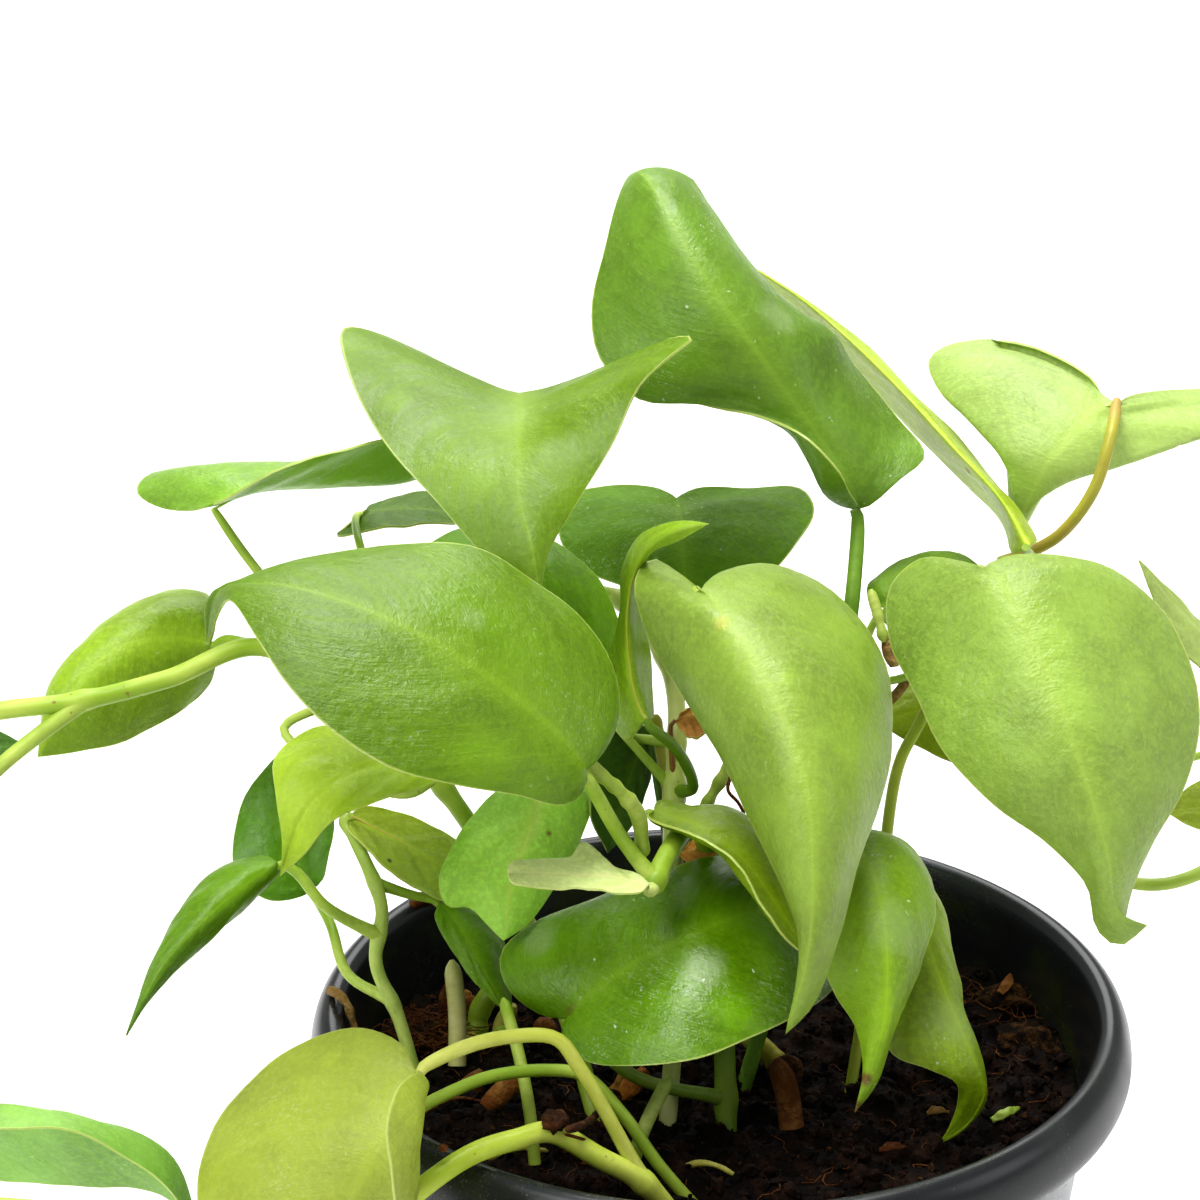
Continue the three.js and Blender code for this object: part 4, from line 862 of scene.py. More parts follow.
class Tree:
    """Short calls for the nodes of one material or group."""

    def __init__(self, tree):
        self.tree = tree
        self.nodes = tree.nodes
        self.links = tree.links

    def feed(self, socket, value):
        if isinstance(value, bpy.types.NodeSocket):
            self.links.new(value, socket)
        elif isinstance(value, tuple) and len(value) == 3 and socket.type == "RGBA":
            socket.default_value = (*value, 1)
        else:
            socket.default_value = value

    def add(self, kind, inputs=None, **settings):
        node = self.nodes.new(kind)
        for key, value in settings.items():
            setattr(node, key, value)
        for key, value in (inputs or {}).items():
            self.feed(node.inputs[key], value)
        return node

    def math(self, operation, one, other=0.0):
        return self.add("ShaderNodeMath", {0: one, 1: other}, operation=operation).outputs[0]

    def vector(self, x, y, z=0.0):
        return self.add("ShaderNodeCombineXYZ", {0: x, 1: y, 2: z}).outputs[0]

    def ramp(self, value, low, high, start=0.0, end=1.0):
        node = self.add("ShaderNodeMapRange", {0: value, 1: low, 2: high, 3: start, 4: end},
                        interpolation_type="SMOOTHSTEP")
        return node.outputs[0]

    def mix(self, share, one, other):
        node = self.add("ShaderNodeMix", data_type="RGBA")
        for key, value in ((0, share), (6, one), (7, other)):
            self.feed(node.inputs[key], value)
        return node.outputs[2]

    def noise(self, vector, scale, detail=2.0, rough=0.5, shift=0.0):
        node = self.add("ShaderNodeTexNoise", noise_dimensions="4D",
                        inputs={"Vector": vector, "W": shift, "Scale": scale, "Detail": detail,
                                "Roughness": rough})
        return node.outputs["Fac"]

    def uv(self):
        """The across and along outputs of the surface's own UV map."""
        surface = self.add("ShaderNodeUVMap", uv_map="UVMap").outputs[0]
        return self.add("ShaderNodeSeparateXYZ", {0: surface}).outputs

    def object_spot(self):
        return self.add("ShaderNodeTexCoord").outputs["Object"]

    def group(self, name, inputs):
        node = self.add("ShaderNodeGroup", node_tree=bpy.data.node_groups[name])
        for key, value in inputs.items():
            self.feed(node.inputs[key], value)
        return node.outputs


def new_group(name, inputs, outputs):
    tree = bpy.data.node_groups.new(name, "ShaderNodeTree")
    for label, kind in inputs:
        tree.interface.new_socket(label, in_out="INPUT", socket_type=kind)
    for label, kind in outputs:
        tree.interface.new_socket(label, in_out="OUTPUT", socket_type=kind)
    work = Tree(tree)
    return work, work.add("NodeGroupInput").outputs, work.add("NodeGroupOutput").inputs


FLOAT, VECTOR = "NodeSocketFloat", "NodeSocketVector"


def make_leaf_veins():
    """Masks that follow the blade: the rib and its glow, side veins, streaks, fine lines and margin."""
    work, into, out = new_group("leaf_veins", [("Shift", FLOAT)],
                                [("Rib", FLOAT), ("Glow", FLOAT), ("Side", FLOAT), ("Streak", FLOAT),
                                 ("Fine", FLOAT), ("Margin", FLOAT), ("Flow", VECTOR)])
    uv = work.uv()
    half = work.math("MULTIPLY_ADD", uv[0], 2.0)
    half.node.inputs[2].default_value = -1
    across = work.math("ABSOLUTE", half)
    bend = work.math("MULTIPLY", work.math("POWER", across, 1.5), 0.24)
    flow = work.math("SUBTRACT", uv[1], bend)
    streak = work.noise(work.vector(work.math("MULTIPLY", flow, 34.0), work.math("MULTIPLY", half, 1.3)),
                        1.0, 3.0, 0.6, into["Shift"])
    fine = work.noise(work.vector(work.math("MULTIPLY", flow, 150.0), work.math("MULTIPLY", half, 4.0)),
                      1.0, 2.0, 0.6, into["Shift"])
    step = work.math("PINGPONG", work.math("MULTIPLY", work.math("ADD", flow, 0.04), 6.0), 0.5)
    side = work.math("MULTIPLY", work.ramp(step, 0.0, 0.07, 1.0, 0.0), work.ramp(across, 0.1, 0.75, 1.0, 0.0))
    taper = work.math("SUBTRACT", 1.25, uv[1])
    rib = work.ramp(work.math("DIVIDE", across, taper), 0.012, 0.06, 1.0, 0.0)
    glow = work.ramp(work.math("DIVIDE", across, taper), 0.02, 0.3, 1.0, 0.0)
    margin = work.ramp(across, 0.982, 0.996)
    streaks = work.ramp(streak, 0.36, 0.68)
    for label, value in (("Rib", rib), ("Glow", glow), ("Side", side), ("Streak", streaks),
                         ("Fine", fine), ("Margin", margin)):
        work.feed(out[label], value)
    work.feed(out["Flow"], work.vector(flow, half))


def make_dust():
    """White dust: specks in patches and scratches that run with the flow of the surface."""
    work, into, out = new_group("dust", [("Flow", VECTOR), ("Amount", FLOAT), ("Shift", FLOAT)],
                                [("Dust", FLOAT)])
    spot = work.object_spot()
    patch = work.ramp(work.noise(spot, 42.0, 2.0, 0.5, into["Shift"]), 0.5, 0.72)
    speck = work.ramp(work.noise(spot, 1500.0, 2.0, 0.6, into["Shift"]), 0.56, 0.72)
    flow = work.add("ShaderNodeVectorMath", {0: into["Flow"], 1: (190.0, 16.0, 0.0)},
                    operation="MULTIPLY").outputs[0]
    scratch = work.ramp(work.noise(flow, 1.0, 3.0, 0.6, into["Shift"]), 0.56, 0.75)
    inside = work.math("MULTIPLY", patch, work.math("ADD", work.math("MULTIPLY", speck, 0.7), scratch))
    stray = work.ramp(work.noise(spot, 700.0, 1.0, 0.5, into["Shift"]), 0.73, 0.78)
    both = work.math("ADD", inside, work.math("MULTIPLY", stray, 0.7))
    work.feed(out["Dust"], work.math("MINIMUM", work.math("MULTIPLY", both, into["Amount"]), 0.85))


def make_stem_streaks():
    """Lengthwise streaks, soft blotches and brown flecks of a stem."""
    work, into, out = new_group("stem_streaks", [("Shift", FLOAT)],
                                [(label, FLOAT) for label in ("Streak", "Blotch", "Fleck")])
    uv = work.uv()
    spot = work.object_spot()
    lines = work.vector(work.math("MULTIPLY", uv[0], 16.0), work.math("MULTIPLY", uv[1], 3.0))
    work.feed(out["Streak"], work.noise(lines, 1.0, 3.0, 0.6, into["Shift"]))
    work.feed(out["Blotch"], work.ramp(work.noise(spot, 75.0, 2.0, 0.5, into["Shift"]), 0.35, 0.68))
    work.feed(out["Fleck"], work.ramp(work.noise(spot, 520.0, 2.0, 0.5, into["Shift"]), 0.7, 0.76))


def new_material(name):
    material = bpy.data.materials.new(name)
    material.use_nodes = True
    work = Tree(material.node_tree)
    return material, work, work.nodes["Principled BSDF"].inputs


def bump(work, height, strength, distance):
    return work.add("ShaderNodeBump", {"Height": height, "Strength": strength,
                                       "Distance": distance * MM}).outputs["Normal"]


def shade(colour, share):
    return tuple(channel * share for channel in colour)


def mark(work, spot, paint, form, sheet_place, radius, colour, strength):
    """A blemish or a patch of painted light (a painted sheen, or painted shade for a hole) with a ragged
    edge, round one place of a leaf's sheet given as its UV.
    """
    across, along = sheet_place
    side = "right" if across >= 0.5 else "left"
    where = form.spot(side, along, abs(2 * across - 1))[0]
    away = work.add("ShaderNodeVectorMath", {0: spot, 1: tuple(where)}, operation="DISTANCE").outputs["Value"]
    ragged = work.noise(spot, 1.3 / (radius * MM), 4.0, 0.65, across * 7)
    reach = work.math("ADD", work.math("DIVIDE", away, radius * MM), ragged)
    return work.mix(work.ramp(reach, 0.75, 1.5, strength, 0.0), paint, colour)


MARGIN_YELLOW, POWDER = (0.5, 0.56, 0.18), (0.7, 0.78, 0.62)
GLOW_SHARE, GLOW_COLOURS, GLOW_REACH = 0.3, (1, 1, 0.3), 1.2
FLECK_BROWN, FLECK_SHARE = (0.24, 0.1, 0.02), 0.7
POT_BLACK, POT_SCUFF, POT_ALGAE = (0.014, 0.016, 0.017), (0.04, 0.044, 0.044), (0.035, 0.045, 0.006)
# POT_WALL_PAINTED_REFLECTION is a painted reflection: a pale grey-blue laid on the black outer wall for the
# bright surroundings that it would mirror.
POT_DUST, POT_WALL_PAINTED_REFLECTION = (0.3, 0.32, 0.3), (0.2, 0.215, 0.23)


def blade_material(name, colour, rib_colour, dust, rough, shine, shift, quilt=0.5, form=None, marks=()):
    """One face of a leaf."""
    material, work, shader = new_material(name)
    veins = work.group("leaf_veins", {"Shift": shift})
    powder = work.group("dust", {"Flow": veins["Flow"], "Amount": dust, "Shift": shift})["Dust"]
    spot = work.object_spot()
    mottle = work.ramp(work.noise(spot, 55.0, 3.0, 0.55, shift), 0.35, 0.7)
    cloud = work.ramp(work.noise(spot, 24.0, 3.0, 0.6, shift + 4), 0.36, 0.64)
    paint = work.mix(work.math("MULTIPLY", mottle, 0.7), shade(colour, 1.2), shade(colour, 0.66))
    paint = work.mix(work.math("MULTIPLY", cloud, 0.5), paint, shade(colour, 0.6))
    fleck = work.ramp(work.noise(spot, 900.0, 3.0, 0.65, shift), 0.42, 0.66)
    paint = work.mix(work.math("MULTIPLY", fleck, 0.3), paint, shade(colour, 1.5))
    paint = work.mix(work.math("MULTIPLY", veins["Streak"], 0.16), paint, rib_colour)
    paint = work.mix(work.math("MULTIPLY", veins["Side"], 0.12), paint, rib_colour)
    paint = work.mix(work.math("MULTIPLY", veins["Glow"], 0.36), paint, rib_colour)
    paint = work.mix(work.math("MULTIPLY", veins["Rib"], 0.45), paint, rib_colour)
    paint = work.mix(work.math("MULTIPLY", veins["Margin"], 0.6), paint, MARGIN_YELLOW)
    for sheet_place, radius, tone, strength in marks:
        # Tones missing from MARK_COLOURS, the sheen marks, are a painted sheen: a paler copy of the leaf's
        # own colour.
        tone = MARK_COLOURS.get(tone, shade(colour, 1.7))
        paint = mark(work, spot, paint, form, sheet_place, radius, tone, strength)
    paint = work.mix(powder, paint, POWDER)
    work.feed(shader["Base Color"], paint)
    smooth = work.ramp(veins["Streak"], 0.0, 1.0, rough - 0.05, rough + 0.08)
    work.feed(shader["Roughness"], work.math("ADD", work.math("MULTIPLY", powder, 0.3), smooth))
    pebbles = work.math("ADD", work.noise(spot, 300.0, 4.0, 0.6, shift),
                        work.math("MULTIPLY", work.noise(spot, 900.0, 3.0, 0.6, shift), 0.3))
    grain = work.math("ADD", pebbles, work.math("MULTIPLY", veins["Fine"], 0.2))
    work.feed(shader["Normal"], bump(work, grain, 0.7, quilt))
    shader["Subsurface Weight"].default_value = GLOW_SHARE
    shader["Subsurface Radius"].default_value = GLOW_COLOURS
    shader["Subsurface Scale"].default_value = GLOW_REACH * MM
    shader["Specular IOR Level"].default_value = shine
    return material


def stem_material(name, colour, pale, shift):
    material, work, shader = new_material(name)
    marks = work.group("stem_streaks", {"Shift": shift})
    paint = work.mix(marks["Blotch"], colour, pale)
    paint = work.mix(work.ramp(marks["Streak"], 0.4, 0.7, 0.0, 0.4), paint, shade(colour, 0.72))
    paint = work.mix(work.math("MULTIPLY", marks["Fleck"], FLECK_SHARE), paint, FLECK_BROWN)
    work.feed(shader["Base Color"], paint)
    work.feed(shader["Roughness"], work.ramp(marks["Blotch"], 0.0, 1.0, 0.36, 0.5))
    work.feed(shader["Normal"], bump(work, marks["Streak"], 0.4, 0.2))
    shader["Specular IOR Level"].default_value = 0.4
    return material


def earth_material(name, dark, warm, scale, rough=0.95):
    """Soil, bark and dry plant bits: broken colour at two sizes and a rough surface."""
    material, work, shader = new_material(name)
    spot = work.object_spot()
    coarse = work.ramp(work.noise(spot, scale, 4.0, 0.7), 0.42, 0.66)
    fine = work.noise(spot, scale * 9, 3.0, 0.7)
    paint = work.mix(work.math("MULTIPLY", coarse, fine), dark, warm)
    work.feed(shader["Base Color"], paint)
    work.feed(shader["Roughness"], work.ramp(fine, 0.3, 0.7, rough - 0.15, rough))
    work.feed(shader["Normal"], bump(work, work.math("ADD", fine, coarse), 0.9, 0.5))
    shader["Specular IOR Level"].default_value = 0.2
    return material


def pot_material():
    """Black moulded plastic: fine tooling lines, scuffs and dust, algae on its inner wall, and a painted
    reflection, a pale grey tint over the outer wall below the lip.
    """
    material, work, shader = new_material("black_pot_plastic")
    spot = work.object_spot()
    axes = work.add("ShaderNodeSeparateXYZ", {0: spot}).outputs
    radius = work.add("ShaderNodeVectorMath", {0: work.vector(axes[0], axes[1])},
                      operation="LENGTH").outputs["Value"]
    flow = work.vector(work.math("MULTIPLY", axes[2], 22.0), work.math("MULTIPLY", radius, 22.0))
    powder = work.group("dust", {"Flow": flow, "Amount": 0.4, "Shift": 3.0})["Dust"]
    inner = work.math("MULTIPLY", work.ramp(radius, 0.0706, 0.0713, 1.0, 0.0),
                      work.ramp(axes[2], 0.112, 0.118))
    outside = work.math("SUBTRACT", radius, work.math("MULTIPLY", axes[2], 0.1382))
    # body masks the outer wall below the lip, where the painted reflection is laid.
    body = work.math("MULTIPLY", work.ramp(axes[2], 0.1222, 0.1232, 1.0, 0.0),
                     work.ramp(outside, 0.0529, 0.0533))
    smear = work.math("MULTIPLY", inner, work.ramp(work.noise(spot, 60.0, 4.0, 0.6), 0.45, 0.65))
    scuff = work.ramp(work.noise(spot, 24.0, 4.0, 0.65), 0.45, 0.72)
    paint = work.mix(work.math("MULTIPLY", scuff, 0.6), POT_BLACK, POT_SCUFF)
    paint = work.mix(work.math("MULTIPLY", smear, 0.8), paint, POT_ALGAE)
    paint = work.mix(powder, paint, POT_DUST)
    # Painted reflection: the outer wall below the lip is tinted pale grey.
    paint = work.mix(work.math("MULTIPLY", body, 0.8), paint, POT_WALL_PAINTED_REFLECTION)
    work.feed(shader["Base Color"], paint)
    work.feed(shader["Roughness"], work.math("ADD", work.math("MULTIPLY", scuff, 0.16), 0.27))
    lines = work.noise(work.vector(work.math("MULTIPLY", axes[2], 900.0), radius), 1.0, 2.0, 0.5)
    work.feed(shader["Normal"], bump(work, lines, 0.15, 0.08))
    shader["Specular IOR Level"].default_value = 0.42
    return material


def floor_material():
    material, work, shader = new_material("pale_floor")
    spot = work.object_spot()
    paint = work.mix(work.noise(spot, 3.0, 3.0, 0.5), (0.9, 0.9, 0.89), (0.94, 0.94, 0.93))
    work.feed(shader["Base Color"], paint)
    shader["Roughness"].default_value = 0.7
    return material


# Each leaf: upper face, under face, dust, roughness, shine and slot
LEAF_LOOKS = {
    "leaf_top": ((0.13, 0.249, 0.017), (0.234, 0.299, 0.053), 0.75, 0.39, 0.42, "leaf_deep"),
    "leaf_edge_on": ((0.372, 0.506, 0.03), (0.62, 0.654, 0.121), 0.1, 0.45, 0.42, "leaf_lime"),
    "leaf_upper_right": ((0.34, 0.47, 0.12), (0.624, 0.565, 0.338), 0.1, 0.43, 0.42, "leaf_lime"),
    "leaf_wing": ((0.127, 0.227, 0.003), (0.17, 0.254, 0.007), 0.25, 0.41, 0.42, "leaf_light"),
    "leaf_far_left": ((0.18, 0.34, 0.03), (0.28, 0.46, 0.06), 0.35, 0.35, 0.42, "leaf_light"),
    "leaf_small_upper": ((0.064, 0.135, 0.002), (0.107, 0.181, 0.003), 0.2, 0.47, 0.35, "leaf_mid"),
    "leaf_centre": ((0.119, 0.226, 0.002), (0.196, 0.278, 0.002), 0.25, 0.38, 0.42, "leaf_mid"),
    "leaf_dark_left": ((0.259, 0.401, 0.019), (0.427, 0.493, 0.059), 0.3, 0.37, 0.42, "leaf_mid"),
    "leaf_outer_left": ((0.06, 0.17, 0.006), (0.07, 0.19, 0.008), 0.2, 0.4, 0.42, "leaf_mid"),
    "leaf_lime_left": ((0.321, 0.458, 0.022), (0.463, 0.5, 0.052), 0.15, 0.41, 0.42, "leaf_light"),
    "leaf_round_left": ((0.08, 0.211, 0.002), (0.147, 0.253, 0.002), 0.2, 0.39, 0.42, "leaf_deep"),
    "leaf_low_left": ((0.118, 0.25, 0.002), (0.193, 0.308, 0.002), 0.2, 0.39, 0.42, "leaf_mid"),
    "leaf_under": ((0.382, 0.48, 0.048), (0.687, 0.577, 0.141), 0.35, 0.45, 0.42, "leaf_deep"),
    "leaf_shade": ((0.157, 0.317, 0.002), (0.34, 0.408, 0.002), 0.2, 0.41, 0.42, "leaf_deep"),
    "leaf_lime_centre": ((0.42, 0.75, 0.1), (0.42, 0.7, 0.12), 0.1, 0.45, 0.42, "leaf_lime"),
    "leaf_low_dark": ((0.122, 0.258, 0.002), (0.265, 0.334, 0.002), 0.9, 0.29, 0.42, "leaf_deep"),
    "leaf_big": ((0.229, 0.34, 0.045), (0.309, 0.38, 0.084), 0.2, 0.39, 0.42, "leaf_light"),
    "leaf_grey": ((0.235, 0.382, 0.012), (0.423, 0.46, 0.04), 0.3, 0.41, 0.42, "leaf_deep"),
    "leaf_back_dark": ((0.102, 0.222, 0.002), (0.057, 0.15, 0.002), 0.4, 0.55, 0.25, "leaf_deep"),
    "leaf_mid_dark": ((0.231, 0.47, 0.002), (0.417, 0.565, 0.002), 0.2, 0.41, 0.42, "leaf_deep"),
    "leaf_right": ((0.245, 0.363, 0.061), (0.329, 0.406, 0.115), 0.25, 0.37, 0.42, "leaf_light"),
    "leaf_behind_right": ((0.119, 0.231, 0.002), (0.196, 0.284, 0.002), 0.1, 0.45, 0.42, "leaf_mid"),
    "leaf_edge_tip": ((0.316, 0.411, 0.111), (0.456, 0.457, 0.248), 0.2, 0.41, 0.42, "leaf_light"),
    "leaf_edge_low": ((0.397, 0.502, 0.043), (0.654, 0.61, 0.134), 0.2, 0.41, 0.42, "leaf_mid"),
    "leaf_drop_near": ((0.214, 0.364, 0.007), (0.353, 0.448, 0.023), 0.7, 0.43, 0.42, "leaf_mid"),
    "leaf_drop_far": ((0.22, 0.335, 0.004), (0.394, 0.403, 0.013), 0.7, 0.43, 0.42, "leaf_deep"),
    "leaf_rolled": ((0.191, 0.291, 0.002), (0.343, 0.348, 0.002), 0.3, 0.39, 0.42, "leaf_deep"),
    "leaf_front_lime": ((0.296, 0.362, 0.046), (0.339, 0.381, 0.092), 0.4, 0.41, 0.42, "leaf_lime"),
    "leaf_front_left": ((0.22, 0.42, 0.07), (0.36, 0.56, 0.16), 0.3, 0.41, 0.42, "leaf_light"),
    "sheath_cream": ((0.58, 0.68, 0.26), (0.58, 0.68, 0.26), 0.1, 0.5, 0.42, "sheath"),
    "leaf_shade_right": ((0.274, 0.357, 0.002), (0.592, 0.457, 0.002), 0.2, 0.45, 0.42, "leaf_deep"),
    "dry_leaf_upper": ((0.42, 0.2, 0.04), (0.36, 0.17, 0.04), 0.0, 0.75, 0.42, "dry_brown"),
    "dry_leaf_lower": ((0.6, 0.28, 0.05), (0.5, 0.22, 0.05), 0.0, 0.75, 0.42, "dry_brown"),
    "leaf_behind": ((0.05, 0.13, 0.004), (0.05, 0.12, 0.006), 0.1, 0.5, 0.42, "leaf_deep"),
}
# Each vine: base colour and its paler streaks
VINE_COLOURS = {
    "vine_left": ((0.3, 0.46, 0.035), (0.56, 0.68, 0.13)),
    "vine_low_left": ((0.36, 0.52, 0.08), (0.55, 0.66, 0.18)),
    "vine_centre": ((0.5, 0.58, 0.15), (0.66, 0.7, 0.3)),
    "vine_middle": ((0.2, 0.36, 0.02), (0.36, 0.5, 0.05)),
    "vine_tall": ((0.11, 0.25, 0.01), (0.2, 0.38, 0.03)),
    "vine_right": ((0.34, 0.44, 0.03), (0.5, 0.55, 0.08)),
    "vine_front": ((0.42, 0.55, 0.04), (0.62, 0.7, 0.12)),
    "vine_front_thin": ((0.28, 0.44, 0.03), (0.46, 0.6, 0.08)),
    "vine_trailing": ((0.5, 0.6, 0.12), (0.66, 0.7, 0.24)),
    "shoot_near": ((0.28, 0.42, 0.03), (0.5, 0.6, 0.12)),
    "shoot_middle": ((0.3, 0.42, 0.05), (0.5, 0.6, 0.16)),
    "shoot_pale": ((0.5, 0.5, 0.18), (0.64, 0.6, 0.3)),
}
STEM_GREEN, STEM_PALE = (0.3, 0.46, 0.04), (0.52, 0.64, 0.13)
STALK_COLOURS = {
    "leaf_upper_right": ((0.42, 0.4, 0.05), (0.5, 0.33, 0.08)),
    "leaf_top": ((0.12, 0.26, 0.01), (0.2, 0.36, 0.03)),
    "leaf_front_lime": ((0.5, 0.55, 0.08), (0.62, 0.64, 0.17)),
    "sheath_cream": ((0.5, 0.6, 0.16), (0.62, 0.68, 0.24)),
    "leaf_low_dark": ((0.2, 0.34, 0.03), (0.34, 0.46, 0.06)),
    "leaf_grey": ((0.14, 0.26, 0.015), (0.22, 0.36, 0.03)),
    "leaf_behind": ((0.05, 0.12, 0.006), (0.08, 0.16, 0.01)),
    "dry_leaf_upper": ((0.2, 0.09, 0.02), (0.3, 0.14, 0.03)),
    "dry_leaf_lower": ((0.3, 0.14, 0.03), (0.4, 0.2, 0.05)),
}


def yellowed(colour):
    """The paler, yellower tone of a rib on a leaf of this colour."""
    return tuple(min(channel * 1.25 + more, 0.75) for channel, more in zip(colour, (0.07, 0.08, 0.012)))


# Blemishes and painted light: the place on the sheet as its UV, the radius in millimetres, the tone and its
# strength. The sheen marks are a painted sheen, a paler copy of the leaf's colour, and the dark mark is
# painted shade for a hole.
# The dark tone is painted shade: a near-black spot that stands for a hole in a leaf.
MARK_COLOURS = {"brown": (0.16, 0.06, 0.012), "dust": (0.34, 0.42, 0.24),
                "yellow": (0.62, 0.5, 0.05), "dark": (0.02, 0.04, 0.004)}
MARKS = {
    "leaf_big": [((0.995, 0.833), 1.6, "brown", 0.9), ((0.521, 0.233), 2.2, "yellow", 0.3),
                 ((0.438, 0.433), 3, "sheen", 0.25)],
    "leaf_drop_near": [((0.646, 0.917), 1.8, "brown", 0.85), ((0.99, 0.983), 2.0, "brown", 0.8),
                       ((0.354, 0.533), 8, "dust", 0.3)],
    "leaf_drop_far": [((0.562, 0.617), 8, "dust", 0.25)],
    "leaf_lime_centre": [((0.333, 0.5), 1.0, "brown", 0.8)],
    "leaf_edge_on": [((0.646, 0.367), 1.5, "brown", 0.85), ((0.667, 0.3), 1.1, "brown", 0.8)],
    "leaf_low_dark": [((0.667, 0.533), 6, "dust", 0.45), ((0.875, 0.533), 6, "sheen", 0.4),
                      ((0.479, 0.117), 2.5, "brown", 0.5), ((0.125, 0.283), 5, "dust", 0.4)],
    "leaf_top": [((0.333, 0.717), 6, "sheen", 0.35), ((0.708, 0.55), 6, "dust", 0.3),
                 ((0.292, 0.783), 5, "sheen", 0.3)],
    "leaf_centre": [((0.146, 0.3), 9, "sheen", 0.35), ((0.646, 0.483), 4, "dust", 0.25)],
    "leaf_right": [((0.438, 0.55), 6, "sheen", 0.35), ((0.42, 0.4), 5, "sheen", 0.25)],
    "leaf_wing": [((0.875, 0.517), 4, "sheen", 0.25), ((0.688, 0.717), 5, "sheen", 0.25),
                  ((0.292, 0.667), 5, "dust", 0.2)],
    # The dark mark on this leaf is painted shade where a hole is.
    "leaf_under": [((0.125, 0.45), 0.9, "dark", 0.9)],
    "leaf_front_lime": [((0.833, 0.283), 3, "sheen", 0.3)],
}
QUILTS = {"leaf_right": 0.9, "leaf_centre": 0.75, "leaf_wing": 0.4, "leaf_top": 0.5}


def leaf_materials(leaf, form, number):
    upper, under, dust, rough, shine, _ = LEAF_LOOKS[leaf["name"]]
    green, pale = STALK_COLOURS.get(leaf["name"], (STEM_GREEN, STEM_PALE))
    shift = number * 1.7
    return (blade_material(leaf["name"] + "_upper", upper, yellowed(upper), dust, rough, shine, shift,
                           QUILTS.get(leaf["name"], 0.6), form, MARKS.get(leaf["name"], ())),
            blade_material(leaf["name"] + "_under", under, yellowed(under), dust * 0.3, rough + 0.14,
                           shine * 0.6, shift + 0.6, 0.4, form, MARKS.get(leaf["name"], ())),
            stem_material(leaf["name"] + "_stalk", green, pale, number * 1.3),
            stem_material(leaf["name"] + "_rib", shade(under, 0.92), under, number * 1.3))


def seen(across, down, height):
    """The world place at a height under a point of the picture."""
    eye = MIDDLE + NEAR * EYE_DISTANCE
    aim = MIDDLE + (ACROSS * (across - PICTURE_MIDDLE) + UP * (PICTURE_MIDDLE - down)) / PICTURE_STEP
    ray = aim - eye
    return (eye + ray * ((height - eye.z) / ray.z)) * MM


def framed(across, up, near):
    """The world place of a place given in the picture's own directions."""
    return place((across, up, near))


def model_lump(name, where, radii, rough, material, slot, seed=0.0):
    """A knobby round piece: nubs, scars, bulbs and cut ends."""
    clear_selection()
    bpy.ops.mesh.primitive_ico_sphere_add(subdivisions=3, radius=1)
    lump = bpy.context.object
    lump.name = name
    for vertex in lump.data.vertices:
        vertex.co *= 1 + rough * noise.noise(vertex.co * 2.3 + Vector((seed, 0, 0)))
        vertex.co = where + Vector(a * b for a, b in zip(vertex.co, radii)) * MM
    bpy.ops.object.shade_smooth()
    paint(lump, material)
    keep(lump, slot)


def model_root(name, points, thick, thin, material, slot, find=seen):
    """A knobby root, stub or tendril through picture points with their heights, or other places."""
    line = Curve([find(*point) for point in points])
    steps = max(8, int(line.length / MM / 0.7))
    spots, radii = [], []
    for step in range(steps + 1):
        share = step / steps
        shiver = noise.noise(Vector((share * line.length / MM * 0.5, thick, 2)))
        tip = min(share, 1 - share) * line.length / MM
        spots.append(line.walk(share))
        even = thick + (thin - thick) * share
        radii.append(even * (1 + 0.28 * shiver) * min(0.35 + tip / thick * 0.8, 1))
    root = model_stem(name, spots, radii)
    paint(root, material)
    keep(root, slot)


def model_strip(name, points, width, curl, material, slot, facing=(0, -0.4, 1), find=seen):
    """A thin crinkled strip, such as a dry sheath or leaf scrap, through picture points."""
    line = Curve([find(*point) for point in points])
    rows, columns = 16, 6
    clear_selection()
    bpy.ops.mesh.primitive_grid_add(x_subdivisions=columns, y_subdivisions=rows, size=2)
    strip = bpy.context.object
    strip.name = name
    for vertex in strip.data.vertices:
        side, share = vertex.co.x, (vertex.co.y + 1) / 2
        tangent = line.tangent(share)
        out = tangent.cross(Vector(facing)).normalized()
        up = out.cross(tangent).normalized()
        half = width / 2 * (0.3 + 0.7 * math.sin(math.pi * min(share * 0.8 + 0.15, 1)))
        crinkle = noise.noise(Vector((side * 1.5, share * 6, width))) * 0.6
        vertex.co = line.walk(share) + (out * side * half + up * (curl * (1 - side * side) + crinkle)) * MM
    thicken(strip, 0.3, 0)
    bpy.ops.object.shade_smooth()
    paint(strip, material)
    keep(strip, slot)


def model_fibre(draw):
    """One curved fibre, about eight millimetres long."""
    spots = []
    for step in range(len(FIBRE_RADII)):
        swing = math.sin(step * 0.9) * 0.8 + draw.uniform(-0.3, 0.3)
        spots.append(Vector((step - 3.5, swing, draw.uniform(-0.3, 0.3))) * MM)
    return model_stem("fibre", spots, FIBRE_RADII)


def fibre_spots(draw, count, middle=None, spread=0.0):
    """Places for fibres: all over the soil, or in a tangle round one place."""
    spots = []
    for _ in range(count):
        if middle:
            away = draw.gauss(0, spread), draw.gauss(0, spread), abs(draw.gauss(0, spread / 3))
            where = middle + Vector(away) * MM
        else:
            x, y = soil_spot(draw)
            where = Vector((x, y, soil_height(x, y) + 0.5)) * MM
        heading = Matrix.Rotation(draw.uniform(0, math.tau), 3, "Z")
        turn = heading @ Matrix.Rotation(draw.gauss(0, 0.25), 3, "Y")
        spots.append((where, turn.to_quaternion(), Vector((1, 1, 1)) * draw.uniform(0.5, 1.3)))
    return spots


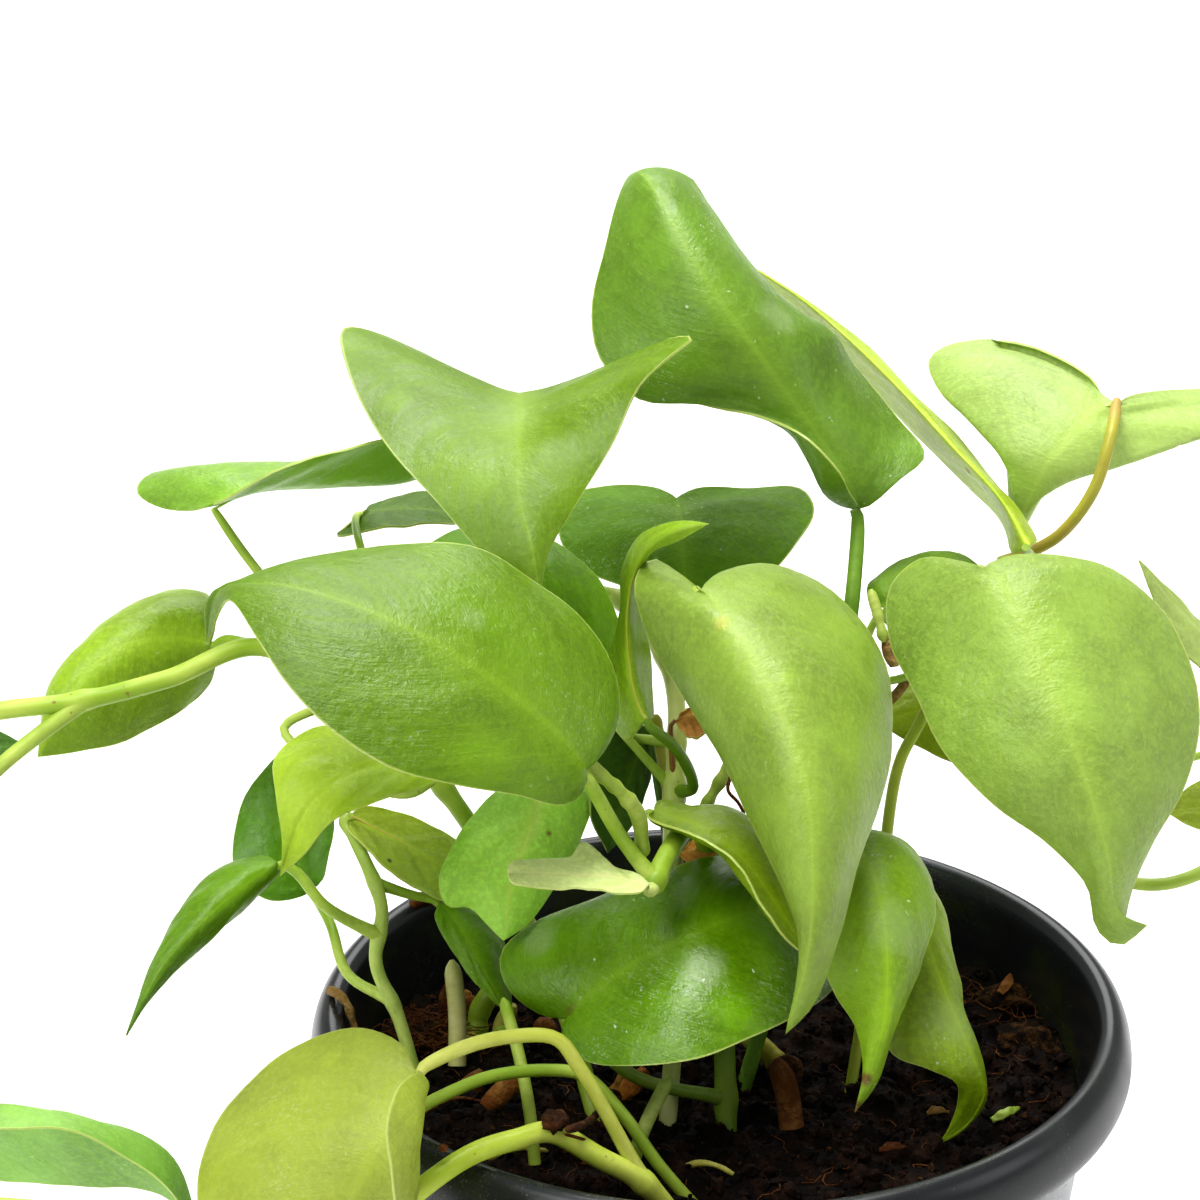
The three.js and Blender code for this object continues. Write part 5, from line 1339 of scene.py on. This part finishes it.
# Roots and stubs: name, thick and thin radius, material, slot, and picture points with heights
ROOTS = [
    ("root_pale_front", 0.8, 0.45, "yellow_root", "vine_pale",
     [(488, 1160, 120), (500, 1152, 121), (522, 1148, 121), (548, 1151, 119)]),
    ("root_thin_left", 0.35, 0.25, "brown_root", "dry_brown",
     [(424, 1114, 119), (440, 1104, 121), (459, 1098, 121), (484, 1102, 119)]),
    ("root_right_front", 0.7, 0.4, "yellow_root", "vine_pale",
     [(684, 1167, 119), (702, 1163, 121), (718, 1166, 121), (738, 1177, 119)]),
    ("tendril_scar", 0.8, 0.4, "dark_root", "dry_brown",
     [(566, 1130, 142), (580, 1126, 141), (594, 1117, 139), (603, 1103, 137), (612, 1091, 135),
      (620, 1097, 133), (617, 1110, 131), (626, 1116, 128)]),
    ("tendril_thin", 0.3, 0.22, "brown_root", "dry_brown",
     [(564, 1134, 141), (585, 1140, 137), (603, 1150, 132), (614, 1164, 127), (621, 1188, 120)]),
    ("root_over_rim", 1.5, 1.0, "brown_root", "dry_brown",
     [(438, 899, 134), (425, 899, 136), (413, 906, 134), (405, 919, 131), (401, 932, 127), (398, 946, 124)]),
    ("sheath_on_rim", 1.1, 0.7, "tan_root", "dry_brown",
     [(328, 990, 135.5), (338, 994, 136.5), (347, 1004, 135.5), (351, 1016, 133), (356, 1032, 130)]),
    ("stem_base_left", 2.3, 1.9, "green_root", "vine_green",
     [(476, 1040, 118), (479, 1014, 123), (489, 995, 127), (496, 984, 129)]),
    ("stem_base_right", 1.8, 1.6, "yellow_root", "vine_pale",
     [(498, 1040, 118), (504, 1020, 122), (514, 1005, 126)]),
    ("stem_base_small", 1.4, 1.0, "green_root", "vine_green",
     [(486, 1046, 118), (498, 1034, 121), (510, 1026, 122)]),
    ("dry_horn", 1.8, 2.8, "amber_root", "dry_brown",
     [(482, 1110, 118), (494, 1100, 120), (508, 1087, 122), (523, 1072, 123)]),
    ("dry_stub_left", 2.6, 1.8, "amber_root", "dry_brown",
     [(470, 1094, 117), (474, 1082, 120), (482, 1070, 122)]),
    ("pale_base", 2.4, 1.9, "amber_root", "dry_brown",
     [(616, 1102, 117), (624, 1086, 121), (634, 1070, 124)]),
    ("yellow_stub", 2.0, 2.3, "yellow_root", "vine_pale",
     [(742, 1032, 124), (753, 1040, 123), (768, 1053, 121), (782, 1068, 119)]),
]
# Lumps: name, picture point with its height, radii, unevenness, material, slot
LUMPS = [
    ("bulb_left", (461, 1005, 121), (2.9, 2.4, 3.2), 0.3, "amber_root", "dry_brown"),
    ("bulb_low", (468, 1042, 119), (2.8, 2.4, 1.9), 0.4, "yellow_root", "vine_pale"),
    ("cut_disc", (545, 1028, 121), (2.3, 2.0, 2.3), 0.15, "brown_root", "dry_brown"),
    ("stub_end", (786, 1071, 121.5), (3.4, 1.6, 3.4), 0.2, "bark_ring", "dry_brown"),
    ("scar", (556, 1121, 142), (2.4, 2.0, 2.0), 0.6, "dark_root", "dry_brown"),
    ("scar_small", (443, 1148, 141), (0.9, 0.6, 0.8), 0.4, "brown_root", "dry_brown"),
    ("nub_left", (125, 709, 167.5), (1.0, 0.9, 1.0), 0.4, "orange_scrap", "dry_brown"),
    ("soil_clod_left", (430, 1042, 119), (5.5, 5.0, 4.2), 0.6, "fibrous_soil", "soil"),
    ("soil_clod_back", (1010, 1003, 118), (7.0, 5.0, 3.0), 0.7, "fibrous_soil", "soil"),
    ("soil_clod_right", (1030, 1040, 118), (6.0, 5.0, 2.4), 0.7, "fibrous_soil", "soil"),
]
# Stems half hidden behind the others: name, radius, material, slot, and places across, up and near
HIDDEN_STEMS = [
    ("stem_behind_pale", 1.6, "yellow_root", "vine_pale",
     [(10.6, -22, -7), (10.8, -25.7, -6), (12.9, -36.2, -6), (13.7, -49.5, -6)]),
    ("stem_behind_olive", 1.5, "green_root", "vine_green",
     [(-2.5, -28, 51), (-1.5, -30.1, 50), (3.6, -34.7, 46), (6.9, -39.2, 42), (7.8, -47.4, 37)]),
    ("stem_behind_slant", 1.3, "green_root", "vine_green",
     [(16, -46, -4), (18.5, -42, -4), (21.4, -37.2, -5), (24.5, -32, -6), (27, -27, -7)]),
    ("root_behind", 0.35, "brown_root", "dry_brown",
     [(25.7, -31.4, 0), (24.3, -36.1, 1), (26.2, -38.4, 1), (27.6, -40.9, 0)]),
    ("stalk_behind_right", 1.1, "green_root", "vine_green", [(51, 2, 8), (52.4, -3, 9), (53.5, -8, 10)]),
    ("stem_behind_tan", 1.0, "tan_root", "dry_brown", [(54.8, -20, -6), (57.5, -17, -6), (59.5, -13.7, -7)]),
]
BRACT = ("bract_behind_right", 3.4, 1.0, "tan_root", "dry_brown",
     [(54.4, -6.5, 9), (54.9, -9.5, 9), (55.4, -12.6, 9)])
HIDDEN_LEAF = dict(name="leaf_behind", vine="vine_centre", joint=0.45, radius=0.8, camber=(0, 0), stalk=[],
                   rib=[(9.5, -24, -2), (6, -33, 0), (3, -42, 2), (1.5, -48, 3)],
                   left=[(10.2, -27, -4), (9.2, -35, -2), (6, -43, 1)],
                   right=[(3, -24, 2), (-1, -30, 4), (-2, -40, 5)])
# Strips: name, width, curl, material, slot, and picture points with heights
STRIPS = [
    ("dry_leaf_scrap", 4.5, 1.2, "orange_scrap", "dry_brown",
     [(622, 1097, 120), (632, 1084, 123), (646, 1070, 125)]),
    ("brown_scale", 3.0, 0.8, "brown_root", "dry_brown",
     [(443, 1014, 122), (446, 998, 126), (450, 984, 129)]),
    ("green_chip", 2.0, 0.5, "green_root", "vine_green",
     [(992, 1121, 120), (1004, 1114, 121), (1018, 1109, 120)]),
    ("tan_chip", 1.6, 0.3, "tan_root", "dry_brown", [(927, 1113, 120), (937, 1110, 120.5), (949, 1112, 120)]),
    ("bark_chip", 2.2, 0.4, "amber_root", "dry_brown",
     [(1000, 994, 121), (1006, 986, 122), (1010, 976, 122)]),
    ("bark_chip_low", 1.8, 0.3, "brown_root", "dry_brown",
     [(880, 1150, 120), (893, 1146, 121), (906, 1147, 120)]),
]


def add_small_finds():
    """Everything small that lies on the soil, grows from it or marks the stems."""
    paints = {
        "yellow_root": stem_material("yellow_root", (0.42, 0.38, 0.05), (0.6, 0.58, 0.16), 61.0),
        "green_root": stem_material("green_root", (0.26, 0.38, 0.03), (0.46, 0.55, 0.12), 62.0),
        "amber_root": earth_material("amber_root", (0.2, 0.07, 0.012), (0.62, 0.36, 0.08), 130.0, 0.7),
        "brown_root": earth_material("brown_root", (0.1, 0.03, 0.006), (0.4, 0.16, 0.035), 240.0, 0.75),
        "dark_root": earth_material("dark_root", (0.03, 0.01, 0.004), (0.24, 0.09, 0.025), 420.0, 0.75),
        "tan_root": earth_material("tan_root", (0.3, 0.17, 0.05), (0.62, 0.45, 0.2), 240.0, 0.75),
        "orange_scrap": earth_material("orange_scrap", (0.36, 0.11, 0.012), (0.75, 0.36, 0.06), 170.0, 0.6),
        "bark_ring": earth_material("bark_ring", (0.05, 0.02, 0.005), (0.26, 0.12, 0.035), 300.0, 0.9),
        "fibrous_soil": earth_material("fibrous_soil", (0.008, 0.003, 0.001), (0.26, 0.12, 0.032), 420.0,
                                       1.0),
    }
    for name, thick, thin, material, slot, points in ROOTS:
        model_root(name, points, thick, thin, paints[material], slot)
    for seed, (name, point, radii, rough, material, slot) in enumerate(LUMPS):
        model_lump(name, seen(*point), radii, rough, paints[material], slot, seed * 3.7)
    for name, width, curl, material, slot, points in STRIPS:
        model_strip(name, points, width, curl, paints[material], slot)
    for name, radius, material, slot, places in HIDDEN_STEMS:
        model_root(name, places, radius, radius * 0.9, paints[material], slot, framed)
    name, width, curl, material, slot, places = BRACT
    model_strip(name, places, width, curl, paints[material], slot, (0, -1, 0.4), framed)
    keep(model_leaf(HIDDEN_LEAF, len(LEAVES)), "leaf_deep")
    draw = random.Random(SEED + 1)
    for name, material, spots in (
            ("coir_tangle", "brown_root", fibre_spots(draw, 150, seen(426, 1036, 121), 4.0)),
            ("coir_strands", "brown_root", fibre_spots(draw, 130)),
            ("coir_tangle_back", "brown_root", fibre_spots(draw, 45, seen(1015, 1010, 118), 6.0))):
        fibres = scatter(name, model_fibre(draw), spots)
        paint(fibres, paints[material])
        keep(fibres, "soil")
    grit = scatter("bark_grit", model_crumb(draw), crumb_spots(draw, 1600, 0.25, 1.3))
    paint(grit, paints["fibrous_soil"])
    keep(grit, "soil")


def world_light():
    world = bpy.data.worlds.new("studio")
    world.use_nodes = True
    background = world.node_tree.nodes["Background"]
    background.inputs["Color"].default_value = (1, 1, 1, 1)
    background.inputs["Strength"].default_value = 0.4
    bpy.context.scene.world = world
    bpy.context.scene.view_settings.view_transform = "Standard"
    bpy.context.scene.view_settings.look = "Medium High Contrast"


def soft_light(name, location, target, size, power):
    bpy.ops.object.light_add(type="AREA", location=location)
    light = bpy.context.object
    light.name = name
    light.data.size = size
    light.data.energy = power
    light.rotation_euler = (Vector(target) - Vector(location)).to_track_quat("-Z", "Y").to_euler()


def sun_light():
    bpy.ops.object.light_add(type="SUN", location=(0, 0, 2))
    sun = bpy.context.object
    sun.name = "broad_top_light"
    sun.data.energy = 1.25
    sun.data.angle = math.radians(30)
    sun.rotation_euler = Vector((0.35, 0.4, -1)).to_track_quat("-Z", "Y").to_euler()


# Soft lights: name, place, aim, width and power
SOFT_LIGHTS = [
    ("overhead_box", (0.0, 0.22, 1.15), (0, 0, 0.2), 0.5, 8),
    ("backdrop_box", (0, 1.7, 1.3), (0, 1.5, 0), 1.2, 16),
    ("left_front_box", (-0.9, -0.7, 0.75), (0, 0, 0.2), 0.5, 3),
    ("right_box", (1.0, -0.2, 0.6), (0, 0, 0.2), 0.5, 1.2),
]


def light_studio():
    world_light()
    sun_light()
    for row in SOFT_LIGHTS:
        soft_light(*row)
    bpy.ops.mesh.primitive_plane_add(size=8)
    floor = bpy.context.object
    floor.name = "studio_floor"
    paint(floor, floor_material())


def keep(piece, slot, *nodes):
    """Ties a finished piece to the object's one body and hides the nodes that it stands for; the slot is not
    used.
    """
    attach(piece, "root")
    if nodes:
        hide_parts(*nodes)


set_camera()
VINE_OF = {vine["name"]: vine for vine in VINES}
make_leaf_veins()
make_dust()
make_stem_streaks()

for number, leaf in enumerate(LEAVES):
    keep(model_leaf(leaf, number), LEAF_LOOKS[leaf["name"]][5], leaf["name"])

OTHER_VINE_SLOTS = {"vine_centre": "vine_pale", "shoot_pale": "vine_pale", "cut_stub": "dry_brown"}
BARK = earth_material("stem_bark", (0.16, 0.06, 0.015), (0.42, 0.2, 0.06), 260.0)
for number, vine in enumerate(VINES):
    piece = model_vine(vine)
    if vine["name"] in VINE_COLOURS:
        paint(piece, stem_material(vine["name"] + "_skin", *VINE_COLOURS[vine["name"]], number + 40.0))
    else:
        paint(piece, BARK)
    keep(piece, OTHER_VINE_SLOTS.get(vine["name"], "vine_green"), vine["name"])

pot = model_pot()
paint(pot, pot_material())
keep(pot, "pot_plastic", "pot")

EARTH = earth_material("dark_soil", (0.003, 0.0012, 0.0006), (0.045, 0.017, 0.006), 170.0)
soil = model_soil()
paint(soil, EARTH)
keep(soil, "soil", "soil")
draw = random.Random(SEED)
crumbs = scatter("soil_crumbs", model_crumb(draw), crumb_spots(draw, 3600, 0.4, 2.6))
paint(crumbs, EARTH)
keep(crumbs, "soil")
add_small_finds()
light_studio()
